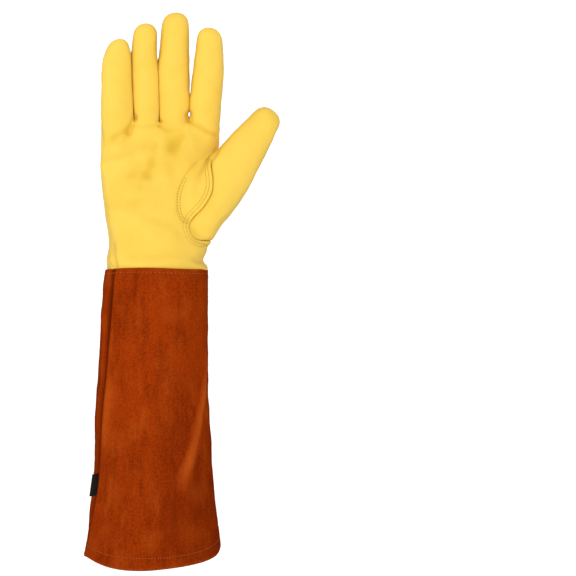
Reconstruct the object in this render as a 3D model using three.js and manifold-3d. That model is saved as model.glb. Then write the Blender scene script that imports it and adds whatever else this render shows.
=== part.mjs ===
// Rose pruning gauntlet for the right hand: a soft grain leather hand sewn to a long suede cuff.
// Millimetres. +Z runs from the mouth of the cuff to the fingertips, the palm faces -Y and the
// thumb lies on +X. The origin is the centre of the cuff's mouth.

import * as THREE from 'three';
import { mergeVertices } from 'three/addons/utils/BufferGeometryUtils.js';
import Module from 'manifold-3d';

// Leather thicknesses and the gap left at each seam
const HAND_WALL = 1.4;
const SUEDE_WALL = 1.8;
const SEAM_GAP = 0.3;

// Suede cuff, outside sizes
const CUFF_LENGTH = 241;
const CUFF_TOP_WIDTH = 88.8;
const CUFF_TOP_DEPTH = 92;
const CUFF_MOUTH_WIDTH = 117;
const CUFF_MOUTH_DEPTH = 140;
const HEM_TURN = 10;
const CUFF_OVERLAP = 14;

// Wrist and palm, outside sizes; the palm's length runs from the cuff to the finger crotches
const WRIST_WIDTH = 82;
const WRIST_DEPTH = 74;
const HAND_WIDTH = 102;
const KNUCKLE_DEPTH = 21.5;
const PALM_LENGTH = 127;
const BACK_ARCH = 10;
const PALM_HOLLOW = 4;

// Fingers, outside sizes; their lengths run from the crotches to the tips
const LITTLE_LENGTH = 66.5;
const LITTLE_WIDTH = 27;
const LITTLE_DEPTH = 23;
const RING_LENGTH = 80.5;
const RING_WIDTH = 22;
const RING_DEPTH = 23;
const MIDDLE_LENGTH = 91;
const MIDDLE_WIDTH = 26.8;
const MIDDLE_DEPTH = 25;
const INDEX_LENGTH = 78.5;
const INDEX_WIDTH = 26.6;
const INDEX_DEPTH = 24.4;
const FINGER_CURL = 22;

// Thumb, outside sizes; its length runs from the lowest point of its seam to its tip
const THUMB_LENGTH = 130;
const THUMB_WIDTH = 44;
const THUMB_DEPTH = 46;
const THUMB_LEAN = 38;
const THUMB_ROOT_ACROSS = 23.4;
const THUMB_ROOT_RISE = 34.3;

// Seams between the fingers and the folded label in the cuff's seam
const CROTCH_TAB = 9.5;
const CROTCH_POINT = 5;
const THUMB_DIVIDE = 0;
const TAG_REACH = 6.5;
const TAG_LENGTH = 18;
const TAG_THICKNESS = 1;
const TAG_HEIGHT = 58;
const TAG_CLEARANCE = 0.8;

// Roundness of each section: 2 is an ellipse, more is squarer
const PALM_SQUARENESS = 2.25;
const FINGER_SQUARENESS = 2.2;
const TIP_SQUARENESS = 2.5;

// Shares of a finger's width: how long its tip is rounded and how far below the tip its fourchette
// ends. Shares of a half section: how far back the side seam lies and how far out a fourchette's
// edge runs. The thumb is rounded from a share of its length. The wrist leaves the cuff's inside
// over so many times its first row's rise.
const TIP_ROUNDING = 0.44;
const FOURCHETTE_END = 0.28;
const SIDE_SEAM_SET = 0.1;
const FOURCHETTE_EDGE = 0.52;
const THUMB_ROUND_FROM = 0.9;
const WRIST_EASE = 1.4;

// The rounded foot of a fourchette: its height as a share of the drop and its width at the bottom
const FOOT_ROUNDING = 0.8;
const FOOT_WIDTH = 0.25;

// A fourchette's slanted top end clears the back by so many seam gaps
const SLANT_GROWTH = 3;

// Cuff, from its mouth (at 0) to its top edge (at 1). flare and deepen run from 0, the top's size,
// to 1, the mouth's. across and set move the middle, as shares of the top's width and depth.
const CUFF_ROWS = [
  { at: 0.0, flare: 1.0, deepen: 1.0, across: 0.0, set: 0.0 },
  { at: 0.05, flare: 0.85, deepen: 0.92, across: 0.005, set: 0.0 },
  { at: 0.112, flare: 0.72, deepen: 0.84, across: 0.005, set: 0.0 },
  { at: 0.24, flare: 0.51, deepen: 0.7, across: 0.01, set: 0.0 },
  { at: 0.37, flare: 0.39, deepen: 0.56, across: 0.0, set: -0.005 },
  { at: 0.5, flare: 0.3, deepen: 0.43, across: -0.004, set: -0.01 },
  { at: 0.626, flare: 0.175, deepen: 0.3, across: 0.005, set: -0.015 },
  { at: 0.755, flare: 0.085, deepen: 0.17, across: 0.01, set: -0.02 },
  { at: 0.883, flare: 0.055, deepen: 0.06, across: 0.024, set: -0.025 },
  { at: 1.0, flare: 0.02, deepen: 0.0, across: 0.039, set: -0.03 },
];

// The cuff's two seams, in degrees: ulnar in front of the little finger's side, radial behind the thumb's
const CUFF_SEAM_ROWS = [
  { at: 0.0, ulnar: 8, radial: 14 },
  { at: 0.12, ulnar: 17, radial: 16 },
  { at: 0.28, ulnar: 25.5, radial: 18 },
  { at: 0.46, ulnar: 30, radial: 20 },
  { at: 0.64, ulnar: 32, radial: 20.5 },
  { at: 0.84, ulnar: 35, radial: 21 },
  { at: 1.0, ulnar: 37, radial: 21 },
];

// Soft ridges and hollows of the cuff. Each runs from a high end to a low end, with turns in degrees
// round the cuff from the thumb's side over the back, and a rise as a share of the top's depth.
const CUFF_FOLDS = [
  { high: 0.66, highTurn: 344, low: 0.28, lowTurn: 298, spread: 7, rise: 0.022 },
  { high: 0.7, highTurn: 330, low: 0.3, lowTurn: 282, spread: 9, rise: -0.016 },
  { high: 0.62, highTurn: 222, low: 0.38, lowTurn: 220, spread: 6, rise: 0.014 },
  { high: 0.95, highTurn: 262, low: 0.55, lowTurn: 250, spread: 14, rise: -0.012 },
  { high: 0.9, highTurn: 96, low: 0.5, lowTurn: 112, spread: 12, rise: 0.016 },
  { high: 0.55, highTurn: 60, low: 0.1, lowTurn: 72, spread: 12, rise: -0.014 },
];

// Palm, from the cuff's top edge (at 0) to the finger crotches (at 1). widen runs from the wrist's
// width to the hand's, slim from the wrist's depth to the knuckles'. across is a share of the hand's
// width and back of the back's arch. ulnarSeam places the side seam, as a share of half the depth.
const PALM_ROWS = [
  { at: 0.07, widen: 0.05, slim: -0.06, across: 0.023, back: -0.15, ulnarSeam: -0.4 },
  { at: 0.18, widen: 0.05, slim: 0.0, across: 0.038, back: 0.0, ulnarSeam: -0.05 },
  { at: 0.35, widen: 0.245, slim: 0.17, across: 0.03, back: 0.3, ulnarSeam: 0.05 },
  { at: 0.5, widen: 0.45, slim: 0.33, across: 0.0245, back: 0.6, ulnarSeam: 0.05 },
  { at: 0.67, widen: 0.7, slim: 0.5, across: 0.029, back: 0.85, ulnarSeam: 0.05 },
  { at: 0.835, widen: 0.955, slim: 0.73, across: 0.055, back: 0.95, ulnarSeam: 0.05 },
  { at: 0.945, widen: 0.97, slim: 0.9, across: 0.062, back: 0.9, ulnarSeam: 0.05 },
  { at: 1.0, widen: 0.96, slim: 1.0, across: 0.066, back: 0.85, ulnarSeam: 0.05 },
];

// Hollows of the palm: place and reach as shares of the hand's width and the palm's length, depth
// as a share of the palm's hollow
const PALM_DENTS = [
  { across: 0.02, at: 0.66, reachAcross: 0.2, reachAlong: 0.2, depth: 1.0 },
  { across: -0.2, at: 0.86, reachAcross: 0.12, reachAlong: 0.06, depth: 0.5 },
  { across: 0.2, at: 0.86, reachAcross: 0.12, reachAlong: 0.06, depth: 0.45 },
];

// Fingers. across is a share of the hand's width, base of the back's arch and curl of the fingers'
// curl towards the palm. Each row's at is a share of the length, shift and girth are of the width.
const FINGERS = [
  {
    name: 'little', length: LITTLE_LENGTH, width: LITTLE_WIDTH, depth: LITTLE_DEPTH,
    across: -0.3, base: 0.4, curl: 0.909,
    rows: [
      { at: -0.38, shift: -0.01, girth: 0.78 },
      { at: 0.0, shift: 0.0, girth: 1.03 },
      { at: 0.25, shift: -0.015, girth: 0.985 },
      { at: 0.53, shift: -0.026, girth: 0.935 },
      { at: 0.75, shift: 0.0, girth: 0.86 },
      { at: 0.88, shift: 0.055, girth: 0.74 },
      { at: 1.0, shift: 0.12, girth: 0.62 },
    ],
  },
  {
    name: 'ring', length: RING_LENGTH, width: RING_WIDTH, depth: RING_DEPTH,
    across: -0.054, base: 0.75, curl: 0.955,
    rows: [
      { at: -0.3, shift: 0.0, girth: 0.8 },
      { at: 0.0, shift: 0.0, girth: 0.935 },
      { at: 0.3, shift: -0.036, girth: 0.98 },
      { at: 0.62, shift: -0.09, girth: 1.0 },
      { at: 0.86, shift: -0.064, girth: 0.945 },
      { at: 1.0, shift: -0.01, girth: 0.86 },
    ],
  },
  {
    name: 'middle', length: MIDDLE_LENGTH, width: MIDDLE_WIDTH, depth: MIDDLE_DEPTH,
    across: 0.1745, base: 0.9, curl: 1.0,
    rows: [
      { at: -0.28, shift: 0.0, girth: 0.74 },
      { at: 0.0, shift: 0.0, girth: 0.875 },
      { at: 0.25, shift: 0.007, girth: 0.95 },
      { at: 0.55, shift: 0.004, girth: 1.0 },
      { at: 0.76, shift: 0.03, girth: 0.93 },
      { at: 0.87, shift: 0.045, girth: 0.89 },
      { at: 1.0, shift: 0.08, girth: 0.84 },
    ],
  },
  {
    name: 'index', length: INDEX_LENGTH, width: INDEX_WIDTH, depth: INDEX_DEPTH,
    across: 0.445, base: 0.8, curl: 1.045,
    rows: [
      { at: -0.33, shift: -0.05, girth: 0.74 },
      { at: 0.0, shift: 0.0, girth: 0.955 },
      { at: 0.27, shift: 0.034, girth: 1.0 },
      { at: 0.5, shift: 0.068, girth: 1.0 },
      { at: 0.64, shift: 0.086, girth: 0.965 },
      { at: 0.88, shift: 0.098, girth: 0.88 },
      { at: 1.0, shift: 0.056, girth: 0.8 },
    ],
  },
];

// Thumb, from the lowest point of its seam (at 0) to its tip (at 1), as shares of its own sizes
const THUMB_ROWS = [
  { at: -0.06, across: 0.3, width: 0.45, set: -0.1, depth: 0.35 },
  { at: 0.06, across: 0.23, width: 0.75, set: -0.14, depth: 0.74 },
  { at: 0.185, across: 0.148, width: 0.86, set: -0.17, depth: 0.96 },
  { at: 0.3, across: 0.114, width: 0.955, set: -0.17, depth: 1.0 },
  { at: 0.46, across: 0.068, width: 1.0, set: -0.17, depth: 0.87 },
  { at: 0.62, across: 0.041, width: 0.864, set: -0.18, depth: 0.72 },
  { at: 0.76, across: 0.023, width: 0.745, set: -0.2, depth: 0.6 },
  { at: 0.84, across: 0.016, width: 0.67, set: -0.2, depth: 0.55 },
  { at: 0.9, across: -0.005, width: 0.6, set: -0.21, depth: 0.52 },
  { at: 1.0, across: -0.005, width: 0.57, set: -0.22, depth: 0.48 },
];

// The thumb's seam on the palm side and on the back, and the lens-shaped gusset beside it: each row
// is a share of the thumb's length and of its width
const THUMB_FRONT_SEAM = [
  { at: 0.589, across: -0.4 },
  { at: 0.47, across: -0.35 },
  { at: 0.372, across: -0.095 },
  { at: 0.3, across: 0.04 },
  { at: 0.2, across: 0.088 },
  { at: 0.089, across: 0.061 },
  { at: 0.028, across: 0.12 },
  { at: 0.0, across: 0.34 },
  { at: 0.056, across: 0.605 },
];
const THUMB_BACK_SEAM = [
  { at: 0.589, across: -0.4 },
  { at: 0.451, across: -0.13 },
  { at: 0.325, across: 0.132 },
  { at: 0.194, across: 0.375 },
  { at: 0.056, across: 0.605 },
];
const GUSSET_EDGE = [
  { at: 0.481, across: -0.37 },
  { at: 0.446, across: -0.538 },
  { at: 0.366, across: -0.565 },
  { at: 0.27, across: -0.568 },
  { at: 0.183, across: -0.496 },
  { at: 0.118, across: -0.388 },
  { at: 0.063, across: -0.23 },
  { at: 0.037, across: -0.07 },
  { at: 0.054, across: 0.06 },
];

// Lap seam between the palm leather and the back, behind the index finger's side: at counts shares of
// the palm's length up to 1 and of the index finger's length above it, across the hand's width
const LAP_SEAM = [
  { at: -0.11, across: 0.425 },
  { at: 0.03, across: 0.42 },
  { at: 0.2, across: 0.395 },
  { at: 0.45, across: 0.392 },
  { at: 0.67, across: 0.4 },
  { at: 0.83, across: 0.42 },
  { at: 1.0, across: 0.475 },
  { at: 1.17, across: 0.53 },
  { at: 1.35, across: 0.56 },
  { at: 1.6, across: 0.568 },
  { at: 1.85, across: 0.55 },
  { at: 2.1, across: 0.5 },
];

// Mesh fineness
const CUFF_COLUMNS = 18;
const CUFF_STEPS = 10;
const HEM_STEPS = 2;
const PALM_SIDES = 30;
const PALM_STEPS = 12;
const FINGER_SIDES = 12;
const FINGER_STEPS = 7;
const THUMB_SIDES = 16;
const THUMB_STEPS = 9;
const TIP_STEPS = 3;
const SEAM_COLUMNS = 8;
const SEAM_STEPS = 20;
const FOURCHETTE_STEPS = 9;
const OUTLINE_POINTS = 2;
const TIP_TURN = THREE.MathUtils.degToRad(80);

// Heights that the sizes above give
const HAND_BASE = CUFF_LENGTH - CUFF_OVERLAP;
const CROTCH_HEIGHT = CUFF_LENGTH + PALM_LENGTH;
const THUMB_ROOT_HEIGHT = CUFF_LENGTH + THUMB_ROOT_RISE;
const INDEX_FINGER = FINGERS[FINGERS.length - 1];
const BEYOND = 2 * (CUFF_MOUTH_WIDTH + THUMB_LENGTH);

const leather = new THREE.MeshStandardMaterial({ color: 0xf6cd55, roughness: 0.5, metalness: 0 });
const trim = new THREE.MeshStandardMaterial({ color: 0xefc24a, roughness: 0.55, metalness: 0 });
const suede = new THREE.MeshStandardMaterial({ color: 0xa33c0c, roughness: 0.95, metalness: 0 });
const label = new THREE.MeshStandardMaterial({ color: 0x16130f, roughness: 0.8, metalness: 0 });

const wasm = await Module();
wasm.setup();

// A smooth value between the rows of a table, straight on past its ends
function read(rows, column, at) {
  const last = rows.length - 1;
  let i = rows.findIndex((row) => row.at > at) - 1;
  if (i === -2) i = last - 1;
  i = Math.max(i, 0);
  const slope = (j) => {
    const low = rows[Math.max(j - 1, 0)];
    const high = rows[Math.min(j + 1, last)];
    return (high[column] - low[column]) / (high.at - low.at);
  };
  const from = rows[i];
  const to = rows[i + 1];
  const span = to.at - from.at;
  const t = THREE.MathUtils.clamp((at - from.at) / span, 0, 1);
  const past = at - from.at - t * span;
  const end = past < 0 ? slope(i) : slope(i + 1);
  const h = (1 - t) * (1 - t);
  return from[column] * h * (1 + 2 * t) + to[column] * t * t * (3 - 2 * t)
    + span * (slope(i) * h * t - slope(i + 1) * t * t * (1 - t)) + past * end;
}

function bell(distance, reach) {
  return Math.exp(-(distance * distance) / (reach * reach));
}

// One point of a rounded section of half sizes 1 by 1, at a turn in radians
function rounded(turn, squareness) {
  const c = Math.cos(turn);
  const s = Math.sin(turn);
  const scale = (Math.abs(c) ** squareness + Math.abs(s) ** squareness) ** (-1 / squareness);
  return [c * scale, s * scale];
}

// Moves every point of a geometry to where place(x, y, z) puts it
function reshape(geometry, place) {
  const position = geometry.attributes.position;
  for (let i = 0; i < position.count; i += 1) {
    position.setXYZ(i, ...place(position.getX(i), position.getY(i), position.getZ(i)));
  }
  return geometry;
}

function toSolid(geometry) {
  const shape = geometry.clone();
  shape.deleteAttribute('normal');
  shape.deleteAttribute('uv');
  const merged = mergeVertices(shape, 1e-4);
  return new wasm.Manifold(new wasm.Mesh({
    numProp: 3,
    vertProperties: merged.attributes.position.array,
    triVerts: new Uint32Array(merged.index.array),
  }));
}

function toGeometry(solid) {
  const mesh = solid.getMesh();
  const geometry = new THREE.BufferGeometry();
  geometry.setAttribute('position', new THREE.BufferAttribute(mesh.vertProperties, mesh.numProp));
  geometry.setIndex(new THREE.BufferAttribute(mesh.triVerts, 1));
  geometry.computeVertexNormals();
  return geometry;
}

// The largest solid of a cut, without the crumbs beside it
function largest(solid) {
  return solid.decompose().reduce((a, b) => (a.volume() > b.volume() ? a : b));
}

// Cuff
function cuffSection(height) {
  const at = height / CUFF_LENGTH;
  const value = (column) => read(CUFF_ROWS, column, at);
  return {
    x: value('across') * CUFF_TOP_WIDTH,
    y: value('set') * CUFF_TOP_DEPTH,
    halfWidth: (CUFF_TOP_WIDTH + value('flare') * (CUFF_MOUTH_WIDTH - CUFF_TOP_WIDTH)) / 2,
    halfDepth: (CUFF_TOP_DEPTH + value('deepen') * (CUFF_MOUTH_DEPTH - CUFF_TOP_DEPTH)) / 2,
  };
}

function cuffRelief(at, turn) {
  let rise = 0;
  for (const fold of CUFF_FOLDS) {
    const share = (at - fold.low) / (fold.high - fold.low);
    const middle = fold.lowTurn + share * (fold.highTurn - fold.lowTurn);
    const ends = bell(Math.max(0, Math.abs(share - 0.5) - 0.3), 0.2);
    rise += fold.rise * CUFF_TOP_DEPTH * ends * bell(turn - middle, fold.spread);
  }
  return rise;
}

function cuffPoint(height, turn, inset) {
  const section = cuffSection(height);
  const at = height / CUFF_LENGTH;
  const out = cuffRelief(at, turn) - inset;
  const angle = THREE.MathUtils.degToRad(turn);
  return [
    section.x + (section.halfWidth + out) * Math.cos(angle),
    section.y + (section.halfDepth + out) * Math.sin(angle),
    height,
  ];
}

const seamTurn = (side, height) => read(CUFF_SEAM_ROWS, side, height / CUFF_LENGTH);
const ulnarTurn = (height) => 180 + seamTurn('ulnar', height);
const radialTurn = (height) => seamTurn('radial', height);

// One suede panel between two seams, twice as thick where its hem is turned in
function cuffPanel(fromTurn, toTurn) {
  const steps = HEM_STEPS + CUFF_STEPS + 2;
  const hemEdge = HEM_TURN + SUEDE_WALL;
  const heightOf = (step) => {
    if (step <= HEM_STEPS) return (HEM_TURN * step) / HEM_STEPS;
    if (step === steps) return CUFF_LENGTH;
    return hemEdge + ((HAND_BASE - hemEdge) * (step - HEM_STEPS - 1)) / CUFF_STEPS;
  };
  return reshape(new THREE.BoxGeometry(1, 1, 1, CUFF_COLUMNS, 1, steps), (x, y, z) => {
    const step = Math.round((z + 0.5) * steps);
    const height = heightOf(step);
    const section = cuffSection(height);
    const gap = THREE.MathUtils.radToDeg(SEAM_GAP / (2 * Math.min(section.halfWidth, section.halfDepth)));
    const turn = THREE.MathUtils.lerp(fromTurn(height) + gap, toTurn(height) - gap, x + 0.5);
    const wall = step <= HEM_STEPS ? 2 * SUEDE_WALL : SUEDE_WALL;
    return cuffPoint(height, turn, y > 0 ? wall : 0);
  });
}

// Palm: its lower end follows the inside of the cuff, above it come the table's sections
function palmSection(height) {
  const value = (column) => read(PALM_ROWS, column, (height - CUFF_LENGTH) / PALM_LENGTH);
  return {
    x: value('across') * HAND_WIDTH,
    y: value('back') * BACK_ARCH,
    halfWidth: (WRIST_WIDTH + value('widen') * (HAND_WIDTH - WRIST_WIDTH)) / 2,
    halfDepth: (WRIST_DEPTH + value('slim') * (KNUCKLE_DEPTH - WRIST_DEPTH)) / 2,
  };
}

const inCuff = (height) => 1 - THREE.MathUtils.smoothstep(
  height,
  CUFF_LENGTH,
  CUFF_LENGTH + WRIST_EASE * PALM_ROWS[0].at * PALM_LENGTH,
);

function palmDent(x, height) {
  let depth = 0;
  for (const dent of PALM_DENTS) {
    const across = bell(x - dent.across * HAND_WIDTH, dent.reachAcross * HAND_WIDTH);
    const along = bell(height - CUFF_LENGTH - dent.at * PALM_LENGTH, dent.reachAlong * PALM_LENGTH);
    depth += dent.depth * PALM_HOLLOW * across * along;
  }
  return depth;
}

function palmTube(inset) {
  const geometry = new THREE.CylinderGeometry(1, 1, 1, PALM_SIDES, PALM_STEPS);
  return toSolid(reshape(geometry, (x, y, z) => {
    const step = Math.round((y + 0.5) * PALM_STEPS);
    const rise = ((step - 1) / (PALM_STEPS - 1)) * (PALM_LENGTH - inset);
    const height = step > 0 ? CUFF_LENGTH + rise : HAND_BASE - inset;
    const section = palmSection(Math.max(height, CUFF_LENGTH));
    const reach = Math.hypot(x, z);
    const angle = Math.atan2(-z, x);
    const [c, s] = rounded(angle, PALM_SQUARENESS);
    const px = section.x + reach * c * (section.halfWidth - inset);
    const facing = Math.max(0, -s) * reach;
    const py = section.y + reach * s * (section.halfDepth - inset) + facing * palmDent(px, height);
    const turn = (THREE.MathUtils.radToDeg(angle) + 360) % 360;
    const seat = cuffPoint(Math.min(height, CUFF_LENGTH), turn, SUEDE_WALL + SEAM_GAP + inset);
    const middle = cuffSection(Math.min(height, CUFF_LENGTH));
    const blend = inCuff(height);
    return [
      THREE.MathUtils.lerp(px, THREE.MathUtils.lerp(middle.x, seat[0], reach), blend),
      THREE.MathUtils.lerp(py, THREE.MathUtils.lerp(middle.y, seat[1], reach), blend),
      height,
    ];
  }));
}

// Round-ended tubes: at runs over the straight part and then round the tip, and the section shrinks
function tipStation(step, steps, start, roundFrom) {
  if (step <= steps) return { at: start + ((roundFrom - start) * step) / steps, shrink: 1 };
  const q = Math.sin((TIP_TURN * (step - steps)) / TIP_STEPS);
  return {
    at: roundFrom + (1 - roundFrom) * q,
    shrink: (1 - q ** TIP_SQUARENESS) ** (1 / TIP_SQUARENESS),
  };
}

function fingerAt(height, finger) {
  return (height - CROTCH_HEIGHT) / finger.length;
}

function fingerMiddle(finger, at) {
  const bend = Math.max(at, 0);
  return {
    x: finger.across * HAND_WIDTH + read(finger.rows, 'shift', at) * finger.width,
    y: finger.base * BACK_ARCH - finger.curl * FINGER_CURL * bend * bend,
    halfWidth: (finger.width * read(finger.rows, 'girth', at)) / 2,
    halfDepth: (finger.depth * read(finger.rows, 'girth', at)) / 2,
  };
}

function fingerTube(finger, inset) {
  const roundFrom = 1 - (TIP_ROUNDING * finger.width) / finger.length;
  const start = finger.rows[0].at;
  const steps = FINGER_STEPS + TIP_STEPS;
  const geometry = new THREE.CylinderGeometry(1, 1, 1, FINGER_SIDES, steps);
  return toSolid(reshape(geometry, (x, y, z) => {
    const station = tipStation(Math.round((y + 0.5) * steps), FINGER_STEPS, start, roundFrom);
    const section = fingerMiddle(finger, station.at);
    const inward = station.at > 0 ? (inset * station.at) : 0;
    const reach = Math.hypot(x, z) * station.shrink;
    const [c, s] = rounded(Math.atan2(-z, x), FINGER_SQUARENESS);
    return [
      section.x + reach * c * (section.halfWidth - inset),
      section.y + reach * s * (section.halfDepth - inset),
      CROTCH_HEIGHT + station.at * finger.length - inward,
    ];
  }));
}

// Thumb: its own leaning axis, with sections square to it
const thumbLean = THREE.MathUtils.degToRad(THUMB_LEAN);

function thumbPlace(at, across) {
  const along = at * THUMB_LENGTH;
  const aside = across * THUMB_WIDTH;
  return [
    THUMB_ROOT_ACROSS + along * Math.sin(thumbLean) + aside * Math.cos(thumbLean),
    THUMB_ROOT_HEIGHT + along * Math.cos(thumbLean) - aside * Math.sin(thumbLean),
  ];
}

function thumbTube(inset) {
  const start = THUMB_ROWS[0].at;
  const steps = THUMB_STEPS + TIP_STEPS;
  const geometry = new THREE.CylinderGeometry(1, 1, 1, THUMB_SIDES, steps);
  return toSolid(reshape(geometry, (x, y, z) => {
    const station = tipStation(Math.round((y + 0.5) * steps), THUMB_STEPS, start, THUMB_ROUND_FROM);
    const value = (column) => read(THUMB_ROWS, column, station.at);
    const reach = Math.hypot(x, z) * station.shrink;
    const [c, s] = rounded(Math.atan2(-z, x), FINGER_SQUARENESS);
    const halfWidth = (value('width') * THUMB_WIDTH) / 2 - inset;
    const halfDepth = (value('depth') * THUMB_DEPTH) / 2 - inset;
    const inward = (inset * Math.max(station.at, 0)) / THUMB_LENGTH;
    const [px, pz] = thumbPlace(
      station.at - inward,
      value('across') + (reach * c * halfWidth) / THUMB_WIDTH,
    );
    return [px, value('set') * THUMB_DEPTH + reach * s * halfDepth, pz];
  }));
}

// The whole hand as one hollow leather wall, open at the wrist
function handWall() {
  const union = (inset) => FINGERS.reduce(
    (body, finger) => body.add(fingerTube(finger, inset)),
    palmTube(inset).add(thumbTube(inset)),
  );
  return union(0).subtract(union(HAND_WALL));
}

// Seam surfaces. The side seam follows the little finger's edge and the middles of the fingers.
const seamHeight = (at) => (at <= 1
  ? CUFF_LENGTH + at * PALM_LENGTH
  : CROTCH_HEIGHT + (at - 1) * INDEX_LENGTH);
const lapRows = LAP_SEAM.map((row) => ({ at: seamHeight(row.at), across: row.across * HAND_WIDTH }));

function fingerBackset(x, height) {
  const stops = FINGERS.map((finger) => {
    const at = THREE.MathUtils.clamp(fingerAt(height, finger), 0, 1);
    const middle = fingerMiddle(finger, at);
    return { at: middle.x, y: middle.y + SIDE_SEAM_SET * middle.halfDepth };
  });
  const across = THREE.MathUtils.clamp(x, stops[0].at, stops[stops.length - 1].at);
  const i = Math.min(stops.findIndex((stop) => stop.at >= across - 1e-9), stops.length - 1);
  if (i <= 0) return stops[0].y;
  const share = (across - stops[i - 1].at) / (stops[i].at - stops[i - 1].at);
  return THREE.MathUtils.lerp(stops[i - 1].y, stops[i].y, share);
}

function sideSeamY(x, height) {
  const section = palmSection(Math.max(height, CUFF_LENGTH));
  const at = (height - CUFF_LENGTH) / PALM_LENGTH;
  const ulnar = read(PALM_ROWS, 'ulnarSeam', Math.min(at, 1)) * section.halfDepth;
  const ulnarSide = 1 - THREE.MathUtils.smoothstep(x / section.halfWidth, -0.4, 0.4);
  const radial = SIDE_SEAM_SET * section.halfDepth;
  const palm = section.y + THREE.MathUtils.lerp(radial, ulnar, ulnarSide);
  const blend = THREE.MathUtils.smoothstep(at, PALM_ROWS[PALM_ROWS.length - 3].at, 1);
  return THREE.MathUtils.lerp(palm, fingerBackset(x, height), blend);
}

// All that lies behind the side seam and inside the lap seam, drawn back by a margin
function behindSeams(margin) {
  const low = HAND_BASE - CUFF_OVERLAP;
  const high = CROTCH_HEIGHT + BEYOND / 4;
  return toSolid(reshape(new THREE.BoxGeometry(1, 1, 1, SEAM_COLUMNS, 1, SEAM_STEPS), (x, y, z) => {
    const height = low + (z + 0.5) * (high - low);
    const right = read(lapRows, 'across', Math.min(height, lapRows[lapRows.length - 1].at)) - margin;
    const px = -HAND_WIDTH + (x + 0.5) * (right + HAND_WIDTH);
    return [px, y > 0 ? BEYOND : sideSeamY(px, Math.max(height, HAND_BASE)) + margin, height];
  }));
}

// The strip between two fingers' backs that their fourchette fills, grown by a margin
function fourchetteStrip(left, right, drop, margin) {
  const bottom = CROTCH_HEIGHT - drop;
  const top = (finger) => CROTCH_HEIGHT + finger.length - FOURCHETTE_END * finger.width;
  const edge = (finger, side, height) => {
    const middle = fingerMiddle(finger, Math.max(fingerAt(height, finger), 0));
    return middle.x + side * FOURCHETTE_EDGE * middle.halfWidth;
  };
  const geometry = new THREE.BoxGeometry(1, 1, 1, 2, 1, FOURCHETTE_STEPS);
  return toSolid(reshape(geometry, (x, y, z) => {
    const v = (z + 0.5) ** 1.5;
    const heights = [left, right].map((finger) => THREE.MathUtils.lerp(bottom, top(finger), v));
    const height = THREE.MathUtils.lerp(heights[0], heights[1], x + 0.5);
    const from = edge(left, 1, heights[0]);
    const to = edge(right, -1, heights[1]);
    const rise = Math.min((height - bottom) / (FOOT_ROUNDING * drop), 1);
    const open = THREE.MathUtils.lerp(FOOT_WIDTH, 1, Math.sqrt(rise * (2 - rise)));
    const px = (from + to) / 2 + x * ((to - from) * open + 2 * margin);
    const grown = THREE.MathUtils.lerp(-margin, SLANT_GROWTH * margin, v);
    return [px, y > 0 ? BEYOND : -BEYOND / 4, height + grown];
  }));
}

const corners = (rows) => rows.map((row) => new THREE.Vector2(...thumbPlace(row.at, row.across)));

// A seam outline as smooth points in the plane of the palm, moved aside by a margin
function outline(rows, margin) {
  const smooth = new THREE.SplineCurve(corners(rows)).getPoints(OUTLINE_POINTS * rows.length);
  return smooth.map((point, i) => {
    const before = smooth[Math.max(i - 1, 0)];
    const after = smooth[Math.min(i + 1, smooth.length - 1)];
    const along = after.clone().sub(before).normalize();
    return new THREE.Vector2(point.x + along.y * margin, point.y - along.x * margin);
  });
}

// A prism over an outline in the X and Z plane, from one Y to another
function prism(points, fromY, toY) {
  const geometry = new THREE.ExtrudeGeometry(new THREE.Shape(points), {
    depth: toY - fromY, bevelEnabled: false,
  });
  geometry.rotateX(Math.PI / 2);
  geometry.translate(0, toY, 0);
  return toSolid(geometry);
}

// Corners beyond the thumb, as shares of its sizes, that close an outline on the thumb's side
const BEYOND_THUMB = [
  { at: 0.056, across: 3 },
  { at: 1.4, across: 3 },
  { at: 1.4, across: -0.95 },
];
const INSIDE_THUMB = [
  { at: 0.1, across: 0.3 },
  { at: 0.35, across: 0.2 },
  { at: 0.5, across: -0.2 },
];

// All of the thumb's side of its seam: one prism in front of the thumb's divide, one behind it
function thumbSide(margin) {
  const far = corners(BEYOND_THUMB);
  const front = prism([...outline(THUMB_FRONT_SEAM, margin), ...far], -BEYOND, THUMB_DIVIDE + margin);
  const back = prism([...outline(THUMB_BACK_SEAM, margin), ...far], THUMB_DIVIDE - margin, BEYOND);
  return front.add(back);
}

function gussetSide(margin) {
  const edge = [...outline(GUSSET_EDGE, margin), ...corners(INSIDE_THUMB)];
  return prism(edge, -BEYOND, THUMB_DIVIDE);
}

function place(name, geometry, material) {
  const mesh = new THREE.Mesh(geometry, material);
  mesh.name = name;
  return mesh;
}

const glove = new THREE.Group();

// Leather hand
const wall = handWall();
const thumbRegion = thumbSide(0);
const thumbCut = thumbSide(SEAM_GAP);
const gussetRegion = gussetSide(0);
const backRegion = behindSeams(SEAM_GAP);

const handOnly = wall.subtract(thumbCut);
const palm = largest(handOnly.subtract(behindSeams(0)).subtract(gussetSide(SEAM_GAP)));
const gusset = largest(handOnly.subtract(behindSeams(0)).intersect(gussetRegion));
const thumb = largest(wall.intersect(thumbRegion));
const backAll = handOnly.intersect(backRegion);
glove.add(place('palm', toGeometry(palm), leather));
glove.add(place('thumb', toGeometry(thumb), leather));
glove.add(place('thumb_gusset', toGeometry(gusset), trim));

let back = backAll;
for (let i = 0; i + 1 < FINGERS.length; i += 1) {
  const [left, right] = [FINGERS[i], FINGERS[i + 1]];
  const drop = right === INDEX_FINGER ? CROTCH_TAB : CROTCH_POINT;
  const strip = largest(backAll.intersect(fourchetteStrip(left, right, drop, 0)));
  glove.add(place(`fourchette_${left.name}_${right.name}`, toGeometry(strip), trim));
  back = back.subtract(fourchetteStrip(left, right, drop, SEAM_GAP));
}
glove.add(place('back', toGeometry(largest(back)), leather));

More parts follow.
